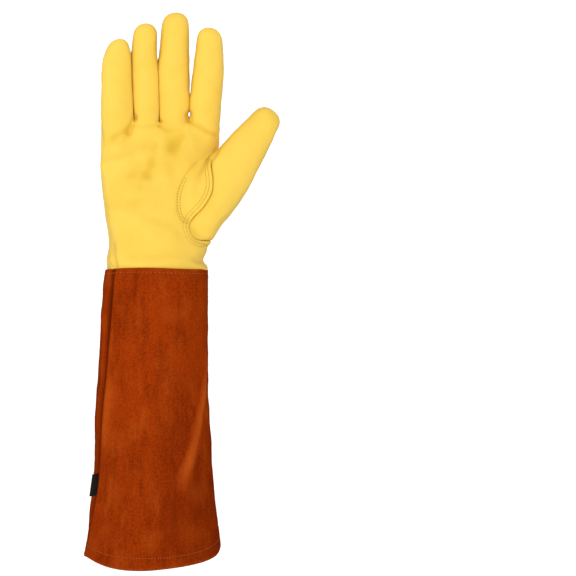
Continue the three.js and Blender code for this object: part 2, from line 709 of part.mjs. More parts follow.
// Suede cuff
const palmPanel = cuffPanel(ulnarTurn, (height) => 360 + radialTurn(height));
const backPanel = cuffPanel(radialTurn, ulnarTurn);
glove.add(place('cuff_palm_panel', palmPanel, suede));
glove.add(place('cuff_back_panel', backPanel, suede));

// Folded label, standing out of the cuff's ulnar seam
const tagTurn = ulnarTurn(TAG_HEIGHT);
const tagSection = cuffSection(TAG_HEIGHT);
const tagAngle = THREE.MathUtils.degToRad(tagTurn);
const tagNormal = new THREE.Vector2(
  Math.cos(tagAngle) / tagSection.halfWidth,
  Math.sin(tagAngle) / tagSection.halfDepth,
).normalize();
const tagFoot = cuffPoint(TAG_HEIGHT, tagTurn, 0);
const tagLift = TAG_CLEARANCE + TAG_REACH / 2;
const tag = place('tag', new THREE.BoxGeometry(TAG_REACH, TAG_THICKNESS, TAG_LENGTH), label);
tag.position.set(tagFoot[0] + tagNormal.x * tagLift, tagFoot[1] + tagNormal.y * tagLift, TAG_HEIGHT);
tag.rotation.z = Math.atan2(tagNormal.y, tagNormal.x);
glove.add(tag);

export default glove;
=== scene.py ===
"""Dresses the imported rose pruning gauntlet: leather hand, suede cuff, seams and stitching."""

import math

import bmesh
import bpy
import numpy as np
from mathutils import Matrix, Vector
from mathutils.bvhtree import BVHTree


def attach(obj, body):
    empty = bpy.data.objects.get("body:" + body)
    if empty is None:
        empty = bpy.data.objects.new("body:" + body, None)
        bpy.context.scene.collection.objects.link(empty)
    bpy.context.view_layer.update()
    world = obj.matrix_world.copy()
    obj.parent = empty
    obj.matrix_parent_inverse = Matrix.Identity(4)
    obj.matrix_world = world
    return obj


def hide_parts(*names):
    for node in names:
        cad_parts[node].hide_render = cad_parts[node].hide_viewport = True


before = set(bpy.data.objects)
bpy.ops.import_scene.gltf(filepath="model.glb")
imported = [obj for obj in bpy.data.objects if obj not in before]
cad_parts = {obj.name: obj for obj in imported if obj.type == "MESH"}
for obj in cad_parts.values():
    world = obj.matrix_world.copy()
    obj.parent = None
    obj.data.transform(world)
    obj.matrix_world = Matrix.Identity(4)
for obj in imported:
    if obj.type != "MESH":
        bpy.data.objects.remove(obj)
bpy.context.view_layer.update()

bl_info = {
    "name": "Rose pruning gauntlet",
    "version": (1, 0, 0),
    "blender": (4, 5, 0),
    "location": "3D View > Sidebar > Gauntlet",
    "description": "Builds a leather rose pruning gauntlet with a long suede cuff",
    "category": "Mesh",
}

MM = 0.001


def table(columns, *rows):
    """A table of numbers, one array for each named column."""
    return dict(zip(columns.split(), np.array(rows, float).T))


# The cuff from its mouth (0) to its top edge (1), as in the part's source
CUFF_ROWS = table(
    "at flare deepen across set",
    (0.0, 1.0, 1.0, 0.0, 0.0),
    (0.05, 0.85, 0.92, 0.005, 0.0),
    (0.112, 0.72, 0.84, 0.005, 0.0),
    (0.24, 0.51, 0.7, 0.01, 0.0),
    (0.37, 0.39, 0.56, 0.0, -0.005),
    (0.5, 0.3, 0.43, -0.004, -0.01),
    (0.626, 0.175, 0.3, 0.005, -0.015),
    (0.755, 0.085, 0.17, 0.01, -0.02),
    (0.883, 0.055, 0.06, 0.024, -0.025),
    (1.0, 0.02, 0.0, 0.039, -0.03),
)
CUFF_SEAM_ROWS = table(
    "at ulnar radial",
    (0.0, 8, 14),
    (0.12, 17, 16),
    (0.28, 25.5, 18),
    (0.46, 30, 20),
    (0.64, 32, 20.5),
    (0.84, 35, 21),
    (1.0, 37, 21),
)
# Soft ridges and hollows of the cuff: place of the high and the low end, spread in degrees and rise
CUFF_FOLDS = (
    (0.66, 344, 0.28, 298, 7, 0.022),
    (0.7, 330, 0.3, 282, 9, -0.016),
    (0.62, 222, 0.38, 220, 6, 0.014),
    (0.95, 262, 0.55, 250, 14, -0.012),
    (0.9, 96, 0.5, 112, 12, 0.016),
    (0.55, 60, 0.1, 72, 12, -0.014),
)
# The palm from the cuff (0) to the finger crotches (1)
PALM_ROWS = table(
    "at widen slim across back ulnar",
    (0.07, 0.05, -0.06, 0.023, -0.15, -0.4),
    (0.18, 0.05, 0.0, 0.038, 0.0, -0.05),
    (0.35, 0.245, 0.17, 0.03, 0.3, 0.05),
    (0.5, 0.45, 0.33, 0.0245, 0.6, 0.05),
    (0.67, 0.7, 0.5, 0.029, 0.85, 0.05),
    (0.835, 0.955, 0.73, 0.055, 0.95, 0.05),
    (0.945, 0.97, 0.9, 0.062, 0.9, 0.05),
    (1.0, 0.96, 1.0, 0.066, 0.85, 0.05),
)
# Dents of the palm: place across and along it, reach each way and share of the hollow's depth
PALM_DENTS = (
    (0.02, 0.66, 0.2, 0.2, 1.0),
    (-0.2, 0.86, 0.12, 0.06, 0.5),
    (0.2, 0.86, 0.12, 0.06, 0.45),
)
# Each finger: place across the hand, height on the back's arch, share of the curl, and its sections
FINGERS = (
    ("little", -0.3, 0.4, 0.909, table(
        "at shift girth",
        (-0.38, -0.01, 0.78), (0.0, 0.0, 1.03), (0.25, -0.015, 0.985), (0.53, -0.026, 0.935),
        (0.75, 0.0, 0.86), (0.88, 0.055, 0.74), (1.0, 0.12, 0.62),
    )),
    ("ring", -0.054, 0.75, 0.955, table(
        "at shift girth",
        (-0.3, 0.0, 0.8), (0.0, 0.0, 0.935), (0.3, -0.036, 0.98), (0.62, -0.09, 1.0),
        (0.86, -0.064, 0.945), (1.0, -0.01, 0.86),
    )),
    ("middle", 0.1745, 0.9, 1.0, table(
        "at shift girth",
        (-0.28, 0.0, 0.74), (0.0, 0.0, 0.875), (0.25, 0.007, 0.95), (0.55, 0.004, 1.0),
        (0.76, 0.03, 0.93), (0.87, 0.045, 0.89), (1.0, 0.08, 0.84),
    )),
    ("index", 0.445, 0.8, 1.045, table(
        "at shift girth",
        (-0.33, -0.05, 0.74), (0.0, 0.0, 0.955), (0.27, 0.034, 1.0), (0.5, 0.068, 1.0),
        (0.64, 0.086, 0.965), (0.88, 0.098, 0.88), (1.0, 0.056, 0.8),
    )),
)
GAPS = ("little_ring", "ring_middle", "middle_index")
THUMB_ROWS = table(
    "at across width set depth",
    (-0.06, 0.3, 0.45, -0.1, 0.35),
    (0.06, 0.23, 0.75, -0.14, 0.74),
    (0.185, 0.148, 0.86, -0.17, 0.96),
    (0.3, 0.114, 0.955, -0.17, 1.0),
    (0.46, 0.068, 1.0, -0.17, 0.87),
    (0.62, 0.041, 0.864, -0.18, 0.72),
    (0.76, 0.023, 0.745, -0.2, 0.6),
    (0.84, 0.016, 0.67, -0.2, 0.55),
    (0.9, -0.005, 0.6, -0.21, 0.52),
    (1.0, -0.005, 0.57, -0.22, 0.48),
)
# Seams in the thumb's own frame, and the lap seam behind the index finger's side
THUMB_FRONT_SEAM = (
    (0.589, -0.4), (0.47, -0.35), (0.372, -0.095), (0.3, 0.04), (0.2, 0.088), (0.089, 0.061),
    (0.028, 0.12), (0.0, 0.34), (0.056, 0.605),
)
THUMB_BACK_SEAM = (
    (0.589, -0.4), (0.451, -0.13), (0.325, 0.132), (0.194, 0.375), (0.056, 0.605),
)
GUSSET_EDGE = (
    (0.481, -0.37), (0.446, -0.538), (0.366, -0.565), (0.27, -0.568), (0.183, -0.496),
    (0.118, -0.388), (0.063, -0.23), (0.037, -0.07), (0.054, 0.06),
)
BEYOND_THUMB = ((0.056, 3.0), (1.4, 3.0), (1.4, -0.95))
INSIDE_THUMB = ((0.1, 0.3), (0.35, 0.2), (0.5, -0.2))
LAP_SEAM = table(
    "at across",
    (-0.11, 0.388), (0.03, 0.4), (0.2, 0.397), (0.45, 0.392), (0.67, 0.4), (0.83, 0.42),
    (1.0, 0.475), (1.17, 0.53), (1.35, 0.56), (1.6, 0.568), (1.85, 0.55), (2.1, 0.5),
)


def length_size(name, description, value, low=0.0):
    """A length property whose default is given in millimetres."""
    return bpy.props.FloatProperty(
        name=name, description=description, default=value * MM, min=low * MM,
        unit="LENGTH", subtype="DISTANCE", precision=4,
    )


def colour(name, description, value):
    """A colour property, in linear light."""
    return bpy.props.FloatVectorProperty(
        name=name, description=description, default=value, min=0.0, max=1.0,
        size=3, subtype="COLOR",
    )


class GauntletSizes(bpy.types.PropertyGroup):
    """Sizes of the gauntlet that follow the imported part."""

    cuff_length: length_size("Cuff length", "Mouth to top edge of the suede cuff", 241)
    cuff_top_width: length_size("Cuff top width", "Width of the cuff at the wrist", 88.8)
    cuff_top_depth: length_size("Cuff top depth", "Depth of the cuff at the wrist", 92)
    cuff_mouth_width: length_size("Cuff mouth width", "Width of the cuff's mouth", 117)
    cuff_mouth_depth: length_size("Cuff mouth depth", "Depth of the cuff's mouth", 140)
    cuff_overlap: length_size("Cuff overlap", "How far the hand reaches into the cuff", 14)
    hem_turn: length_size("Hem turn", "Width of the turned hem", 10)
    wrist_width: length_size("Wrist width", "Width of the leather at the wrist", 82)
    wrist_depth: length_size("Wrist depth", "Depth of the leather at the wrist", 74)
    hand_width: length_size("Hand width", "Width across the knuckles", 102)
    knuckle_depth: length_size("Knuckle depth", "Depth at the finger crotches", 21.5)
    palm_length: length_size("Palm length", "Cuff to finger crotches", 127)
    back_arch: length_size("Back arch", "How far the knuckles arch backwards", 10)
    palm_hollow: length_size("Palm hollow", "Depth of the hollow of the palm", 4)
    finger_curl: length_size("Finger curl", "How far the fingertips lean towards the palm", 22)
    little_length: length_size("Little finger length", "Crotch to tip", 66.5)
    little_width: length_size("Little finger width", "Width across", 27)
    little_depth: length_size("Little finger depth", "Front to back", 23)
    ring_length: length_size("Ring finger length", "Crotch to tip", 80.5)
    ring_width: length_size("Ring finger width", "Width across", 22)
    ring_depth: length_size("Ring finger depth", "Front to back", 23)
    middle_length: length_size("Middle finger length", "Crotch to tip", 91)
    middle_width: length_size("Middle finger width", "Width across", 26.8)
    middle_depth: length_size("Middle finger depth", "Front to back", 25)
    index_length: length_size("Index finger length", "Crotch to tip", 78.5)
    index_width: length_size("Index finger width", "Width across", 26.6)
    index_depth: length_size("Index finger depth", "Front to back", 24.4)
    thumb_length: length_size("Thumb length", "Seam to tip", 130)
    thumb_width: length_size("Thumb width", "Width across the ball of the thumb", 44)
    thumb_depth: length_size("Thumb depth", "Front to back at the ball of the thumb", 46)
    thumb_across: length_size("Thumb root across", "Place of the thumb seam's foot", 23.4)
    thumb_rise: length_size("Thumb root rise", "Height of the seam's foot above the cuff", 34.3)
    thumb_lean: bpy.props.FloatProperty(
        name="Thumb lean", description="Lean of the thumb away from the fingers",
        default=math.radians(38), min=0.0, max=math.radians(80), subtype="ANGLE", unit="ROTATION",
    )
    crotch_tab: length_size("Index crotch tab", "Foot of the fourchette by the index", 9.5)
    crotch_point: length_size("Crotch point", "Foot of the other fourchettes", 5)
    hand_wall: length_size("Leather thickness", "Thickness of the grain leather", 1.4)
    suede_wall: length_size("Suede thickness", "Thickness of the split suede", 1.8)


class GauntletSewing(bpy.types.PropertyGroup):
    """Seams, threads and the drawn-in wrist."""

    hand_pitch: length_size("Hand stitch pitch", "One stitch to the next on the hand", 2.6, 1)
    cuff_pitch: length_size("Cuff stitch pitch", "One stitch to the next on the cuff", 3.4, 1)
    thread: length_size("Thread thickness", "Diameter of the sewing thread", 0.55, 0.1)
    row_near: length_size("Near row", "First stitch row's distance from a seam", 2.8)
    row_far: length_size("Far row", "Second stitch row's distance from a seam", 5.4)
    lap_lift: length_size("Lap lift", "Step of the upper leather at a lap seam", 0.7)
    seam_groove: length_size("Seam groove", "Depth of the groove at a closed seam", 0.8)
    shirring_height: length_size("Shirring height", "Height of the elastic zigzag", 5)
    shirring_pitch: length_size("Shirring pitch", "Width of one V of the elastic zigzag", 7)
    shirring_level: length_size("Shirring level", "Zigzag's height above the cuff", 34)
    shirring_pucker: length_size("Shirring pucker", "Depth of the puckers round it", 0.9)
    top_stitch: length_size("Top stitch", "Cuff stitching below the top edge", 3.6)


class GauntletColours(bpy.types.PropertyGroup):
    """Colours of leather, suede, threads, label and backdrop, and of the painted shade and
    highlight on them.
    """

    leather: colour("Leather", "Golden grain leather", (0.95, 0.635, 0.095))
    # Painted shade in the leather's folds and at its seams, and the lines of its grain
    leather_deep: colour("Leather hollows", "Leather in its folds and hollows", (0.74, 0.45, 0.03))
    hand_thread: colour("Hand thread", "Thread of the hand's seams", (0.88, 0.58, 0.09))
    # Painted shade: the dark discs that stand for the shade inside each needle hole
    needle_hole: colour("Needle holes", "Pierced leather at each stitch", (0.42, 0.21, 0.011))
    suede: colour("Suede", "Brushed nap of the cuff", (0.36, 0.04, 0.002))
    # Brushed nap, and painted shade towards the cuff's mouth, in its seams, on its flanks and in
    # its needle holes
    suede_dark: colour("Suede dark", "Nap brushed the other way", (0.19, 0.018, 0.0012))
    # Rubbed nap and loose fibres, and the painted highlight on the cuff's ridges
    suede_light: colour("Suede light", "Rubbed ridges of the cuff", (0.5, 0.085, 0.008))
    cuff_thread: colour("Cuff thread", "Thread of the cuff's seams", (0.54, 0.13, 0.022))
    label: colour("Label", "Woven label tape", (0.012, 0.011, 0.01))
    backdrop: colour("Backdrop", "Floor and backdrop", (0.92, 0.92, 0.92))


def read(rows, column, at):
    """Smooth values between the rows of a table, straight on past its ends."""
    at = np.asarray(at, float)
    stops, values = rows["at"], rows[column]
    last = len(stops) - 1
    index = np.arange(last + 1)
    low, high = np.maximum(index - 1, 0), np.minimum(index + 1, last)
    slopes = (values[high] - values[low]) / (stops[high] - stops[low])
    i = np.clip(np.searchsorted(stops, at, side="right") - 1, 0, last - 1)
    span = stops[i + 1] - stops[i]
    t = np.clip((at - stops[i]) / span, 0, 1)
    past = at - stops[i] - t * span
    end = np.where(past < 0, slopes[i], slopes[i + 1])
    h = (1 - t) ** 2
    between = values[i] * h * (1 + 2 * t) + values[i + 1] * t * t * (3 - 2 * t)
    bend = span * (slopes[i] * h * t - slopes[i + 1] * t * t * (1 - t))
    return between + bend + past * end


def bell(distance, reach):
    """1 at no distance, falling away softly over the reach."""
    return np.exp(-np.square(distance / reach))


def mix(a, b, share):
    """From a to b by a share."""
    return a + (b - a) * share


def smoothstep(value, low, high):
    """0 below the low value, 1 above the high one, with a soft step between."""
    t = np.clip((value - low) / (high - low), 0, 1)
    return t * t * (3 - 2 * t)


PALM_SQUARENESS, FINGER_SQUARENESS = 2.25, 2.2  # 2 is an ellipse


def rounded(turn, squareness):
    """Points of a rounded section of half sizes 1 by 1."""
    c, s = np.cos(turn), np.sin(turn)
    scale = (np.abs(c) ** squareness + np.abs(s) ** squareness) ** (-1 / squareness)
    return c * scale, s * scale


CUFF_ROOM = 0.3  # millimetres between the suede and the hand inside it


class Form:
    """The gauntlet's shape in millimetres, from the sizes and the sewing in the panel."""

    def __init__(self, scene):
        for group in ("gauntlet_sizes", "gauntlet_sewing"):
            for key in GROUPS[group].__annotations__:
                value = getattr(getattr(scene, group), key)
                setattr(self, key, value if key == "thumb_lean" else value / MM)
        self.hand_base = self.cuff_length - self.cuff_overlap
        self.crotch = self.cuff_length + self.palm_length
        self.thumb_foot = self.cuff_length + self.thumb_rise
        self.lap = {
            "at": np.where(
                LAP_SEAM["at"] <= 1,
                self.cuff_length + LAP_SEAM["at"] * self.palm_length,
                self.crotch + (LAP_SEAM["at"] - 1) * self.index_length,
            ),
            "across": LAP_SEAM["across"] * self.hand_width,
        }
        self.lap_rows = (self.row_near + LAP_ROWS_SET[0], self.row_far + LAP_ROWS_SET[1])
        self.outlines = {
            "front": self.thumb_outline(THUMB_FRONT_SEAM, BEYOND_THUMB),
            "back": self.thumb_outline(THUMB_BACK_SEAM, BEYOND_THUMB),
            "gusset": self.thumb_outline(GUSSET_EDGE, INSIDE_THUMB),
        }

    def finger_size(self, name):
        """Length, width and depth of a finger."""
        return (getattr(self, f"{name}_{size}") for size in ("length", "width", "depth"))

    def cuff_section(self, height):
        """Middle, half width and half depth of the cuff at a height."""
        at = height / self.cuff_length
        widen = self.cuff_mouth_width - self.cuff_top_width
        deepen = self.cuff_mouth_depth - self.cuff_top_depth
        return (
            read(CUFF_ROWS, "across", at) * self.cuff_top_width,
            read(CUFF_ROWS, "set", at) * self.cuff_top_depth,
            (self.cuff_top_width + read(CUFF_ROWS, "flare", at) * widen) / 2,
            (self.cuff_top_depth + read(CUFF_ROWS, "deepen", at) * deepen) / 2,
        )

    def cuff_relief(self, at, turn):
        """Rise of the cuff's slanting ridges and hollows."""
        rise = 0
        for high, high_turn, low, low_turn, spread, height in CUFF_FOLDS:
            share = (at - low) / (high - low)
            middle = low_turn + share * (high_turn - low_turn)
            ends = bell(np.maximum(0, np.abs(share - 0.5) - 0.3), 0.2)
            rise = rise + height * self.cuff_top_depth * ends * bell(turn - middle, spread)
        return rise

    def cuff_point(self, height, turn, inset):
        """Points of the cuff at a height and a turn in degrees, so far in from its face."""
        x, y, half_width, half_depth = self.cuff_section(height)
        out = self.cuff_relief(height / self.cuff_length, turn) - inset
        angle = np.radians(turn)
        return np.stack([
            x + (half_width + out) * np.cos(angle),
            y + (half_depth + out) * np.sin(angle),
            height + 0 * turn,
        ], axis=-1)

    def seam_turn(self, side, height):
        """Turn, in degrees, of one of the cuff's two seams."""
        turn = read(CUFF_SEAM_ROWS, side, height / self.cuff_length)
        return turn + 180 if side == "ulnar" else turn

    def palm_section(self, height):
        """Middle, half width and half depth of the palm at a height."""
        at = (height - self.cuff_length) / self.palm_length
        wider = self.hand_width - self.wrist_width
        slimmer = self.knuckle_depth - self.wrist_depth
        return (
            read(PALM_ROWS, "across", at) * self.hand_width,
            read(PALM_ROWS, "back", at) * self.back_arch,
            (self.wrist_width + read(PALM_ROWS, "widen", at) * wider) / 2,
            (self.wrist_depth + read(PALM_ROWS, "slim", at) * slimmer) / 2,
        )

    def palm_dent(self, x, height):
        """Depth of the hollow of the palm and of the two dents below the fingers."""
        depth = 0
        for across, at, reach, along, share in PALM_DENTS:
            beside = bell(x - across * self.hand_width, reach * self.hand_width)
            above = bell(
                height - self.cuff_length - at * self.palm_length, along * self.palm_length
            )
            depth = depth + share * self.palm_hollow * beside * above
        return depth

    def palm_tube(self, turn, height, reach):
        """Points of the palm, whose lower end follows the inside of the cuff."""
        x, y, half_width, half_depth = self.palm_section(np.maximum(height, self.cuff_length))
        c, s = rounded(turn, PALM_SQUARENESS)
        px = x + reach * c * half_width
        facing = np.maximum(0, -s) * reach
        py = y + reach * s * half_depth + facing * self.palm_dent(px, height)
        low = np.minimum(height, self.cuff_length)
        seat = self.cuff_point(low, np.degrees(turn) % 360, self.suede_wall + CUFF_ROOM)
        middle = self.cuff_section(low)
        ease = 1.4 * PALM_ROWS["at"][0] * self.palm_length
        blend = 1 - smoothstep(height, self.cuff_length, self.cuff_length + ease)
        return np.stack([
            mix(px, mix(middle[0], seat[..., 0], reach), blend),
            mix(py, mix(middle[1], seat[..., 1], reach), blend),
            height,
        ], axis=-1)

    def finger_middle(self, finger, at):
        """Middle, half width and half depth of a finger, from its crotch (0) to its tip (1)."""
        name, across, base, curl, rows = finger
        _, width, depth = self.finger_size(name)
        girth = read(rows, "girth", at)
        bend = np.maximum(at, 0)
        return (
            across * self.hand_width + read(rows, "shift", at) * width,
            base * self.back_arch - curl * self.finger_curl * bend * bend,
            width * girth / 2,
            depth * girth / 2,
        )

    def finger_tube(self, finger, turn, at, reach):
        """Points round a finger; reach is their share of its section."""
        length, _, _ = self.finger_size(finger[0])
        x, y, half_width, half_depth = self.finger_middle(finger, at)
        c, s = rounded(turn, FINGER_SQUARENESS)
        return np.stack([
            x + reach * c * half_width,
            y + reach * s * half_depth,
            self.crotch + at * length,
        ], axis=-1)

    def thumb_place(self, at, across):
        """X and Z of a place in the thumb's own frame."""
        along, aside = at * self.thumb_length, across * self.thumb_width
        c, s = math.cos(self.thumb_lean), math.sin(self.thumb_lean)
        return (
            self.thumb_across + along * s + aside * c,
            self.thumb_foot + along * c - aside * s,
        )

    def thumb_tube(self, turn, at, reach):
        """Points round the thumb; reach is their share of its section."""
        c, s = rounded(turn, FINGER_SQUARENESS)
        width = read(THUMB_ROWS, "width", at) / 2
        depth = read(THUMB_ROWS, "depth", at) / 2
        x, z = self.thumb_place(at, read(THUMB_ROWS, "across", at) + reach * c * width)
        y = (read(THUMB_ROWS, "set", at) + reach * s * depth) * self.thumb_depth
        return np.stack([x, y, z], axis=-1)

    def thumb_outline(self, rows, close):
        """A closed outline in the X and Z plane: a smooth seam and the corners that close it."""
        rows = np.array(rows)
        seam = {"at": np.arange(len(rows)), "along": rows[:, 0], "across": rows[:, 1]}
        share = np.linspace(0, len(rows) - 1, 6 * len(rows))
        x, z = self.thumb_place(read(seam, "along", share), read(seam, "across", share))
        corners = [self.thumb_place(*corner) for corner in close]
        return np.concatenate([np.stack([x, z], axis=-1), np.array(corners)])

    def inside(self, name, x, z):
        """Distance inside an outline at the thumb's root, negative outside it."""
        return within(x, z, self.outlines[name])

    def side_seam(self, x, height):
        """Y of the seam along the little finger's edge and the middles of the fingers."""
        _, y, half_width, half_depth = self.palm_section(np.maximum(height, self.cuff_length))
        at = (height - self.cuff_length) / self.palm_length
        ulnar = read(PALM_ROWS, "ulnar", np.minimum(at, 1))
        side = 1 - smoothstep(x / half_width, -0.4, 0.4)
        palm = y + mix(0.1, ulnar, side) * half_depth
        stops = []
        for finger in FINGERS:
            length = getattr(self, f"{finger[0]}_length")
            middle = self.finger_middle(finger, np.clip((height - self.crotch) / length, 0, 1))
            stops.append((middle[0], middle[1] + 0.1 * middle[3]))
        backset = stops[0][1]
        for (x0, y0), (x1, y1) in zip(stops, stops[1:]):
            backset = np.where(x > x0, mix(y0, y1, np.clip((x - x0) / (x1 - x0), 0, 1)), backset)
        return mix(palm, backset, smoothstep(at, PALM_ROWS["at"][-3], 1))

    def fourchette_outline(self, left, right, drop):
        """A closed outline, in X and Z, of the strip between two fingers' backs."""
        v = np.linspace(0, 1, 40) ** 1.5
        bottom = self.crotch - drop
        edges, heights = [], []
        for finger, side in ((left, 1), (right, -1)):
            length, width, _ = self.finger_size(finger[0])
            rise = mix(bottom, self.crotch + length - 0.28 * width, v)
            middle = self.finger_middle(finger, np.maximum((rise - self.crotch) / length, 0))
            edges.append(middle[0] + side * 0.52 * middle[2])
            heights.append(rise)
        foot = np.minimum((sum(heights) / 2 - bottom) / (0.8 * drop), 1)
        spread = mix(0.25, 1, np.sqrt(foot * (2 - foot)))
        middle, half = (edges[0] + edges[1]) / 2, (edges[1] - edges[0]) / 2 * spread
        up = np.stack([middle - half, heights[0]], axis=-1)
        down = np.stack([middle + half, heights[1]], axis=-1)
        return np.concatenate([up, down[::-1]])


def within(x, z, outline):
    """Distance inside a closed outline, negative outside it."""
    near = np.full(x.shape, 1e9)
    inside = np.zeros(x.shape, bool)
    for (ax, az), (bx, bz) in zip(outline, np.roll(outline, -1, axis=0)):
        ex, ez = bx - ax, bz - az
        t = np.clip(((x - ax) * ex + (z - az) * ez) / max(ex * ex + ez * ez, 1e-9), 0, 1)
        near = np.minimum(near, np.hypot(x - ax - t * ex, z - az - t * ez))
        if ez:
            inside ^= ((az > z) != (bz > z)) & (x < ax + (z - az) / ez * ex)
    return np.where(inside, near, -near)


def line_distance(x, z, line):
    """Distance from an open line of points in the X and Z plane."""
    near = np.full(x.shape, 1e9)
    for (ax, az), (bx, bz) in zip(line, line[1:]):
        ex, ez = bx - ax, bz - az
        t = np.clip(((x - ax) * ex + (z - az) * ez) / (ex * ex + ez * ez), 0, 1)
        near = np.minimum(near, np.hypot(x - ax - t * ex, z - az - t * ez))
    return near


def waves(points, reach, seed):
    """Smooth unevenness between about -1 and 1, with bumps about reach millimetres across."""
    rng = np.random.default_rng(seed)
    total = np.zeros(len(points))
    for _ in range(9):
        way = rng.normal(size=3)
        way *= 2 * math.pi / reach / np.linalg.norm(way) * rng.uniform(0.6, 1.3)
        total += np.sin(points @ way + rng.uniform(0, 2 * math.pi))
    return total / 4


def lofted(bm, columns, rows, place):
    """Adds a closed tube: a grid wrapped round, its two ends drawn together to a point."""
    shape = bmesh.new()
    bmesh.ops.create_grid(shape, x_segments=columns, y_segments=rows, size=0.5)
    grid = np.array([v.co[:2] for v in shape.verts]) + 0.5
    for vert, point in zip(shape.verts, place(grid[:, 0] * 2 * math.pi, grid[:, 1])):
        vert.co = point
    bmesh.ops.remove_doubles(shape, verts=shape.verts, dist=1e-3)
    bmesh.ops.recalc_face_normals(shape, faces=shape.faces)
    join(bm, shape)


def mesh_from(bm, name):
    """A mesh of what was modelled, which is then let go."""
    mesh = bpy.data.meshes.new(name)
    bm.to_mesh(mesh)
    bm.free()
    return mesh


def join(whole, part):
    """Adds a finished part to the whole."""
    mesh = mesh_from(part, "part")
    whole.from_mesh(mesh)
    bpy.data.meshes.remove(mesh)


# Shares of a tube's rows: its closed start, and where its round tip begins
TUBE_START, TUBE_TIP = 0.04, 0.8


def tip_station(share, start, round_from):
    """Place along a tube and size of its section, from a closed start to a round tip."""
    body = np.clip((share - TUBE_START) / (TUBE_TIP - TUBE_START), 0, 1)
    at = start + (round_from - start) * body
    q = np.sin(np.clip((share - TUBE_TIP) / (1 - TUBE_TIP), 0, 1) * math.pi / 2)
    at = np.where(share > TUBE_TIP, round_from + (1 - round_from) * q, at)
    reach = (1 - q ** 2.5) ** 0.4
    return at, np.where(share < TUBE_START / 2, 0, reach)


FINGER_ROOM = 3.2  # millimetres added to each gap while the skin is made


def gap_lines(form, z):
    """X of the middle of each gap between two fingers, at the heights z."""
    edges = []
    for finger in FINGERS:
        length = getattr(form, f"{finger[0]}_length")
        middle = form.finger_middle(finger, np.clip((z - form.crotch) / length, 0, 1))
        edges.append((middle[0] - middle[2], middle[0] + middle[2]))
    return [(left[1] + right[0]) / 2 for left, right in zip(edges, edges[1:])]


def finger_room(form, z):
    """How far the fingers stand apart at the heights z."""
    return smoothstep(z, form.crotch - 6, form.crotch + 2) * FINGER_ROOM


def fingers_apart(form, x, z):
    """Moves points so that only the gaps between the fingers widen, while the skin is made."""
    steps = sum(smoothstep(x - middle, -0.35, 0.35) for middle in gap_lines(form, z))
    return x + finger_room(form, z) * (steps - 1.5)


HALVINGS = 22


def fingers_together(form, apart, z):
    """Undoes fingers_apart, by halving the range that holds each answer."""
    low, high = apart - 2 * FINGER_ROOM, apart + 2 * FINGER_ROOM
    for _ in range(HALVINGS):
        middle = (low + high) / 2
        over = fingers_apart(form, middle, z) > apart
        low, high = np.where(over, low, middle), np.where(over, middle, high)
    return (low + high) / 2


# How far each side of a gap leans in and presses on the other, in millimetres, by height
GAP_LEAN = (
    table(
        "at lean press",
        (362, 0.0, 0), (372, 1.2, 0), (378, 2.0, 0), (384, 2.0, 0.45), (412, 1.9, 0.45),
        (420, 1.2, 0), (428, 0.0, 0),
    ),
    table(
        "at lean press",
        (365, 0.0, 0), (370, 1.6, 0), (374, 2.4, 0.05), (380, 2.6, 0.45), (406, 2.6, 0.45),
        (415, 1.6, 0), (425, 0.0, 0),
    ),
    table(
        "at lean press",
        (355, 0.0, 0), (364, 1.8, 0), (373, 1.8, 0), (374.5, 0.4, 0), (377.5, 0.3, 0),
        (379.5, 1.7, 0), (384, 1.8, 0.2), (390, 1.6, 0), (396, 0.7, 0), (412, 0.3, 0),
        (430, 0.0, 0),
    ),
)
LEAN_REACH = 5.0  # millimetres of a finger's side that lean


def fingers_touch(form, x, z):
    """Leans the sides of neighbouring fingers against each other where the glove is closed."""
    for rows, middle in zip(GAP_LEAN, gap_lines(form, z)):
        lean, press = (np.interp(z, rows["at"], rows[name]) for name in ("lean", "press"))
        aside = np.abs(x - middle)
        leant = aside - lean * bell(np.maximum(aside - 0.6, 0), LEAN_REACH)
        x = middle + np.sign(x - middle) * np.maximum(leant, np.minimum(aside, 0.05 - press))
    return x


BELOW_BASE = 8  # millimetres that the blank runs on below its base, to be cut off
MELT_SIZE = 1.05  # millimetres between the points of the melted skin


def hand_blank(form):
    """The whole hand as one closed skin: palm, fingers and thumb melted together."""
    bm = bmesh.new()

    def palm(turn, share):
        up = np.clip((share - 0.02) / 0.96, 0, 1)
        height = form.hand_base - BELOW_BASE + up * (form.crotch - form.hand_base + BELOW_BASE)
        points = form.palm_tube(turn, height, np.where((share < 0.01) | (share > 0.99), 0.0, 1.0))
        points[:, 0] = fingers_apart(form, points[:, 0], points[:, 2])
        return points

    lofted(bm, 120, 100, palm)
    for i, finger in enumerate(FINGERS):
        length, width, _ = form.finger_size(finger[0])

        def tube(turn, share):
            at, reach = tip_station(share, finger[4]["at"][0], 1 - 0.44 * width / length)
            points = form.finger_tube(finger, turn, at, reach)
            points[:, 0] += (i - 1.5) * finger_room(form, points[:, 2])
            return points

        lofted(bm, 72, 90, tube)

    def thumb(turn, share):
        at, reach = tip_station(share, THUMB_ROWS["at"][0], 0.9)
        return form.thumb_tube(turn, at, reach)

    lofted(bm, 90, 100, thumb)
    mesh = mesh_from(bm, "hand_blank")
    blank = bpy.data.objects.new("hand_blank", mesh)
    bpy.context.collection.objects.link(blank)
    melt = blank.modifiers.new("Melt", "REMESH")
    melt.mode = "VOXEL"
    melt.voxel_size = MELT_SIZE
    bpy.context.view_layer.update()
    melted = blank.evaluated_get(bpy.context.evaluated_depsgraph_get())
    skin = bpy.data.meshes.new_from_object(melted)
    bpy.data.objects.remove(blank)
    bpy.data.meshes.remove(mesh)
    return skin


def points_of(mesh):
    """The mesh's points, a row for each."""
    flat = np.empty(len(mesh.vertices) * 3)
    mesh.vertices.foreach_get("co", flat)
    return flat.reshape(-1, 3)


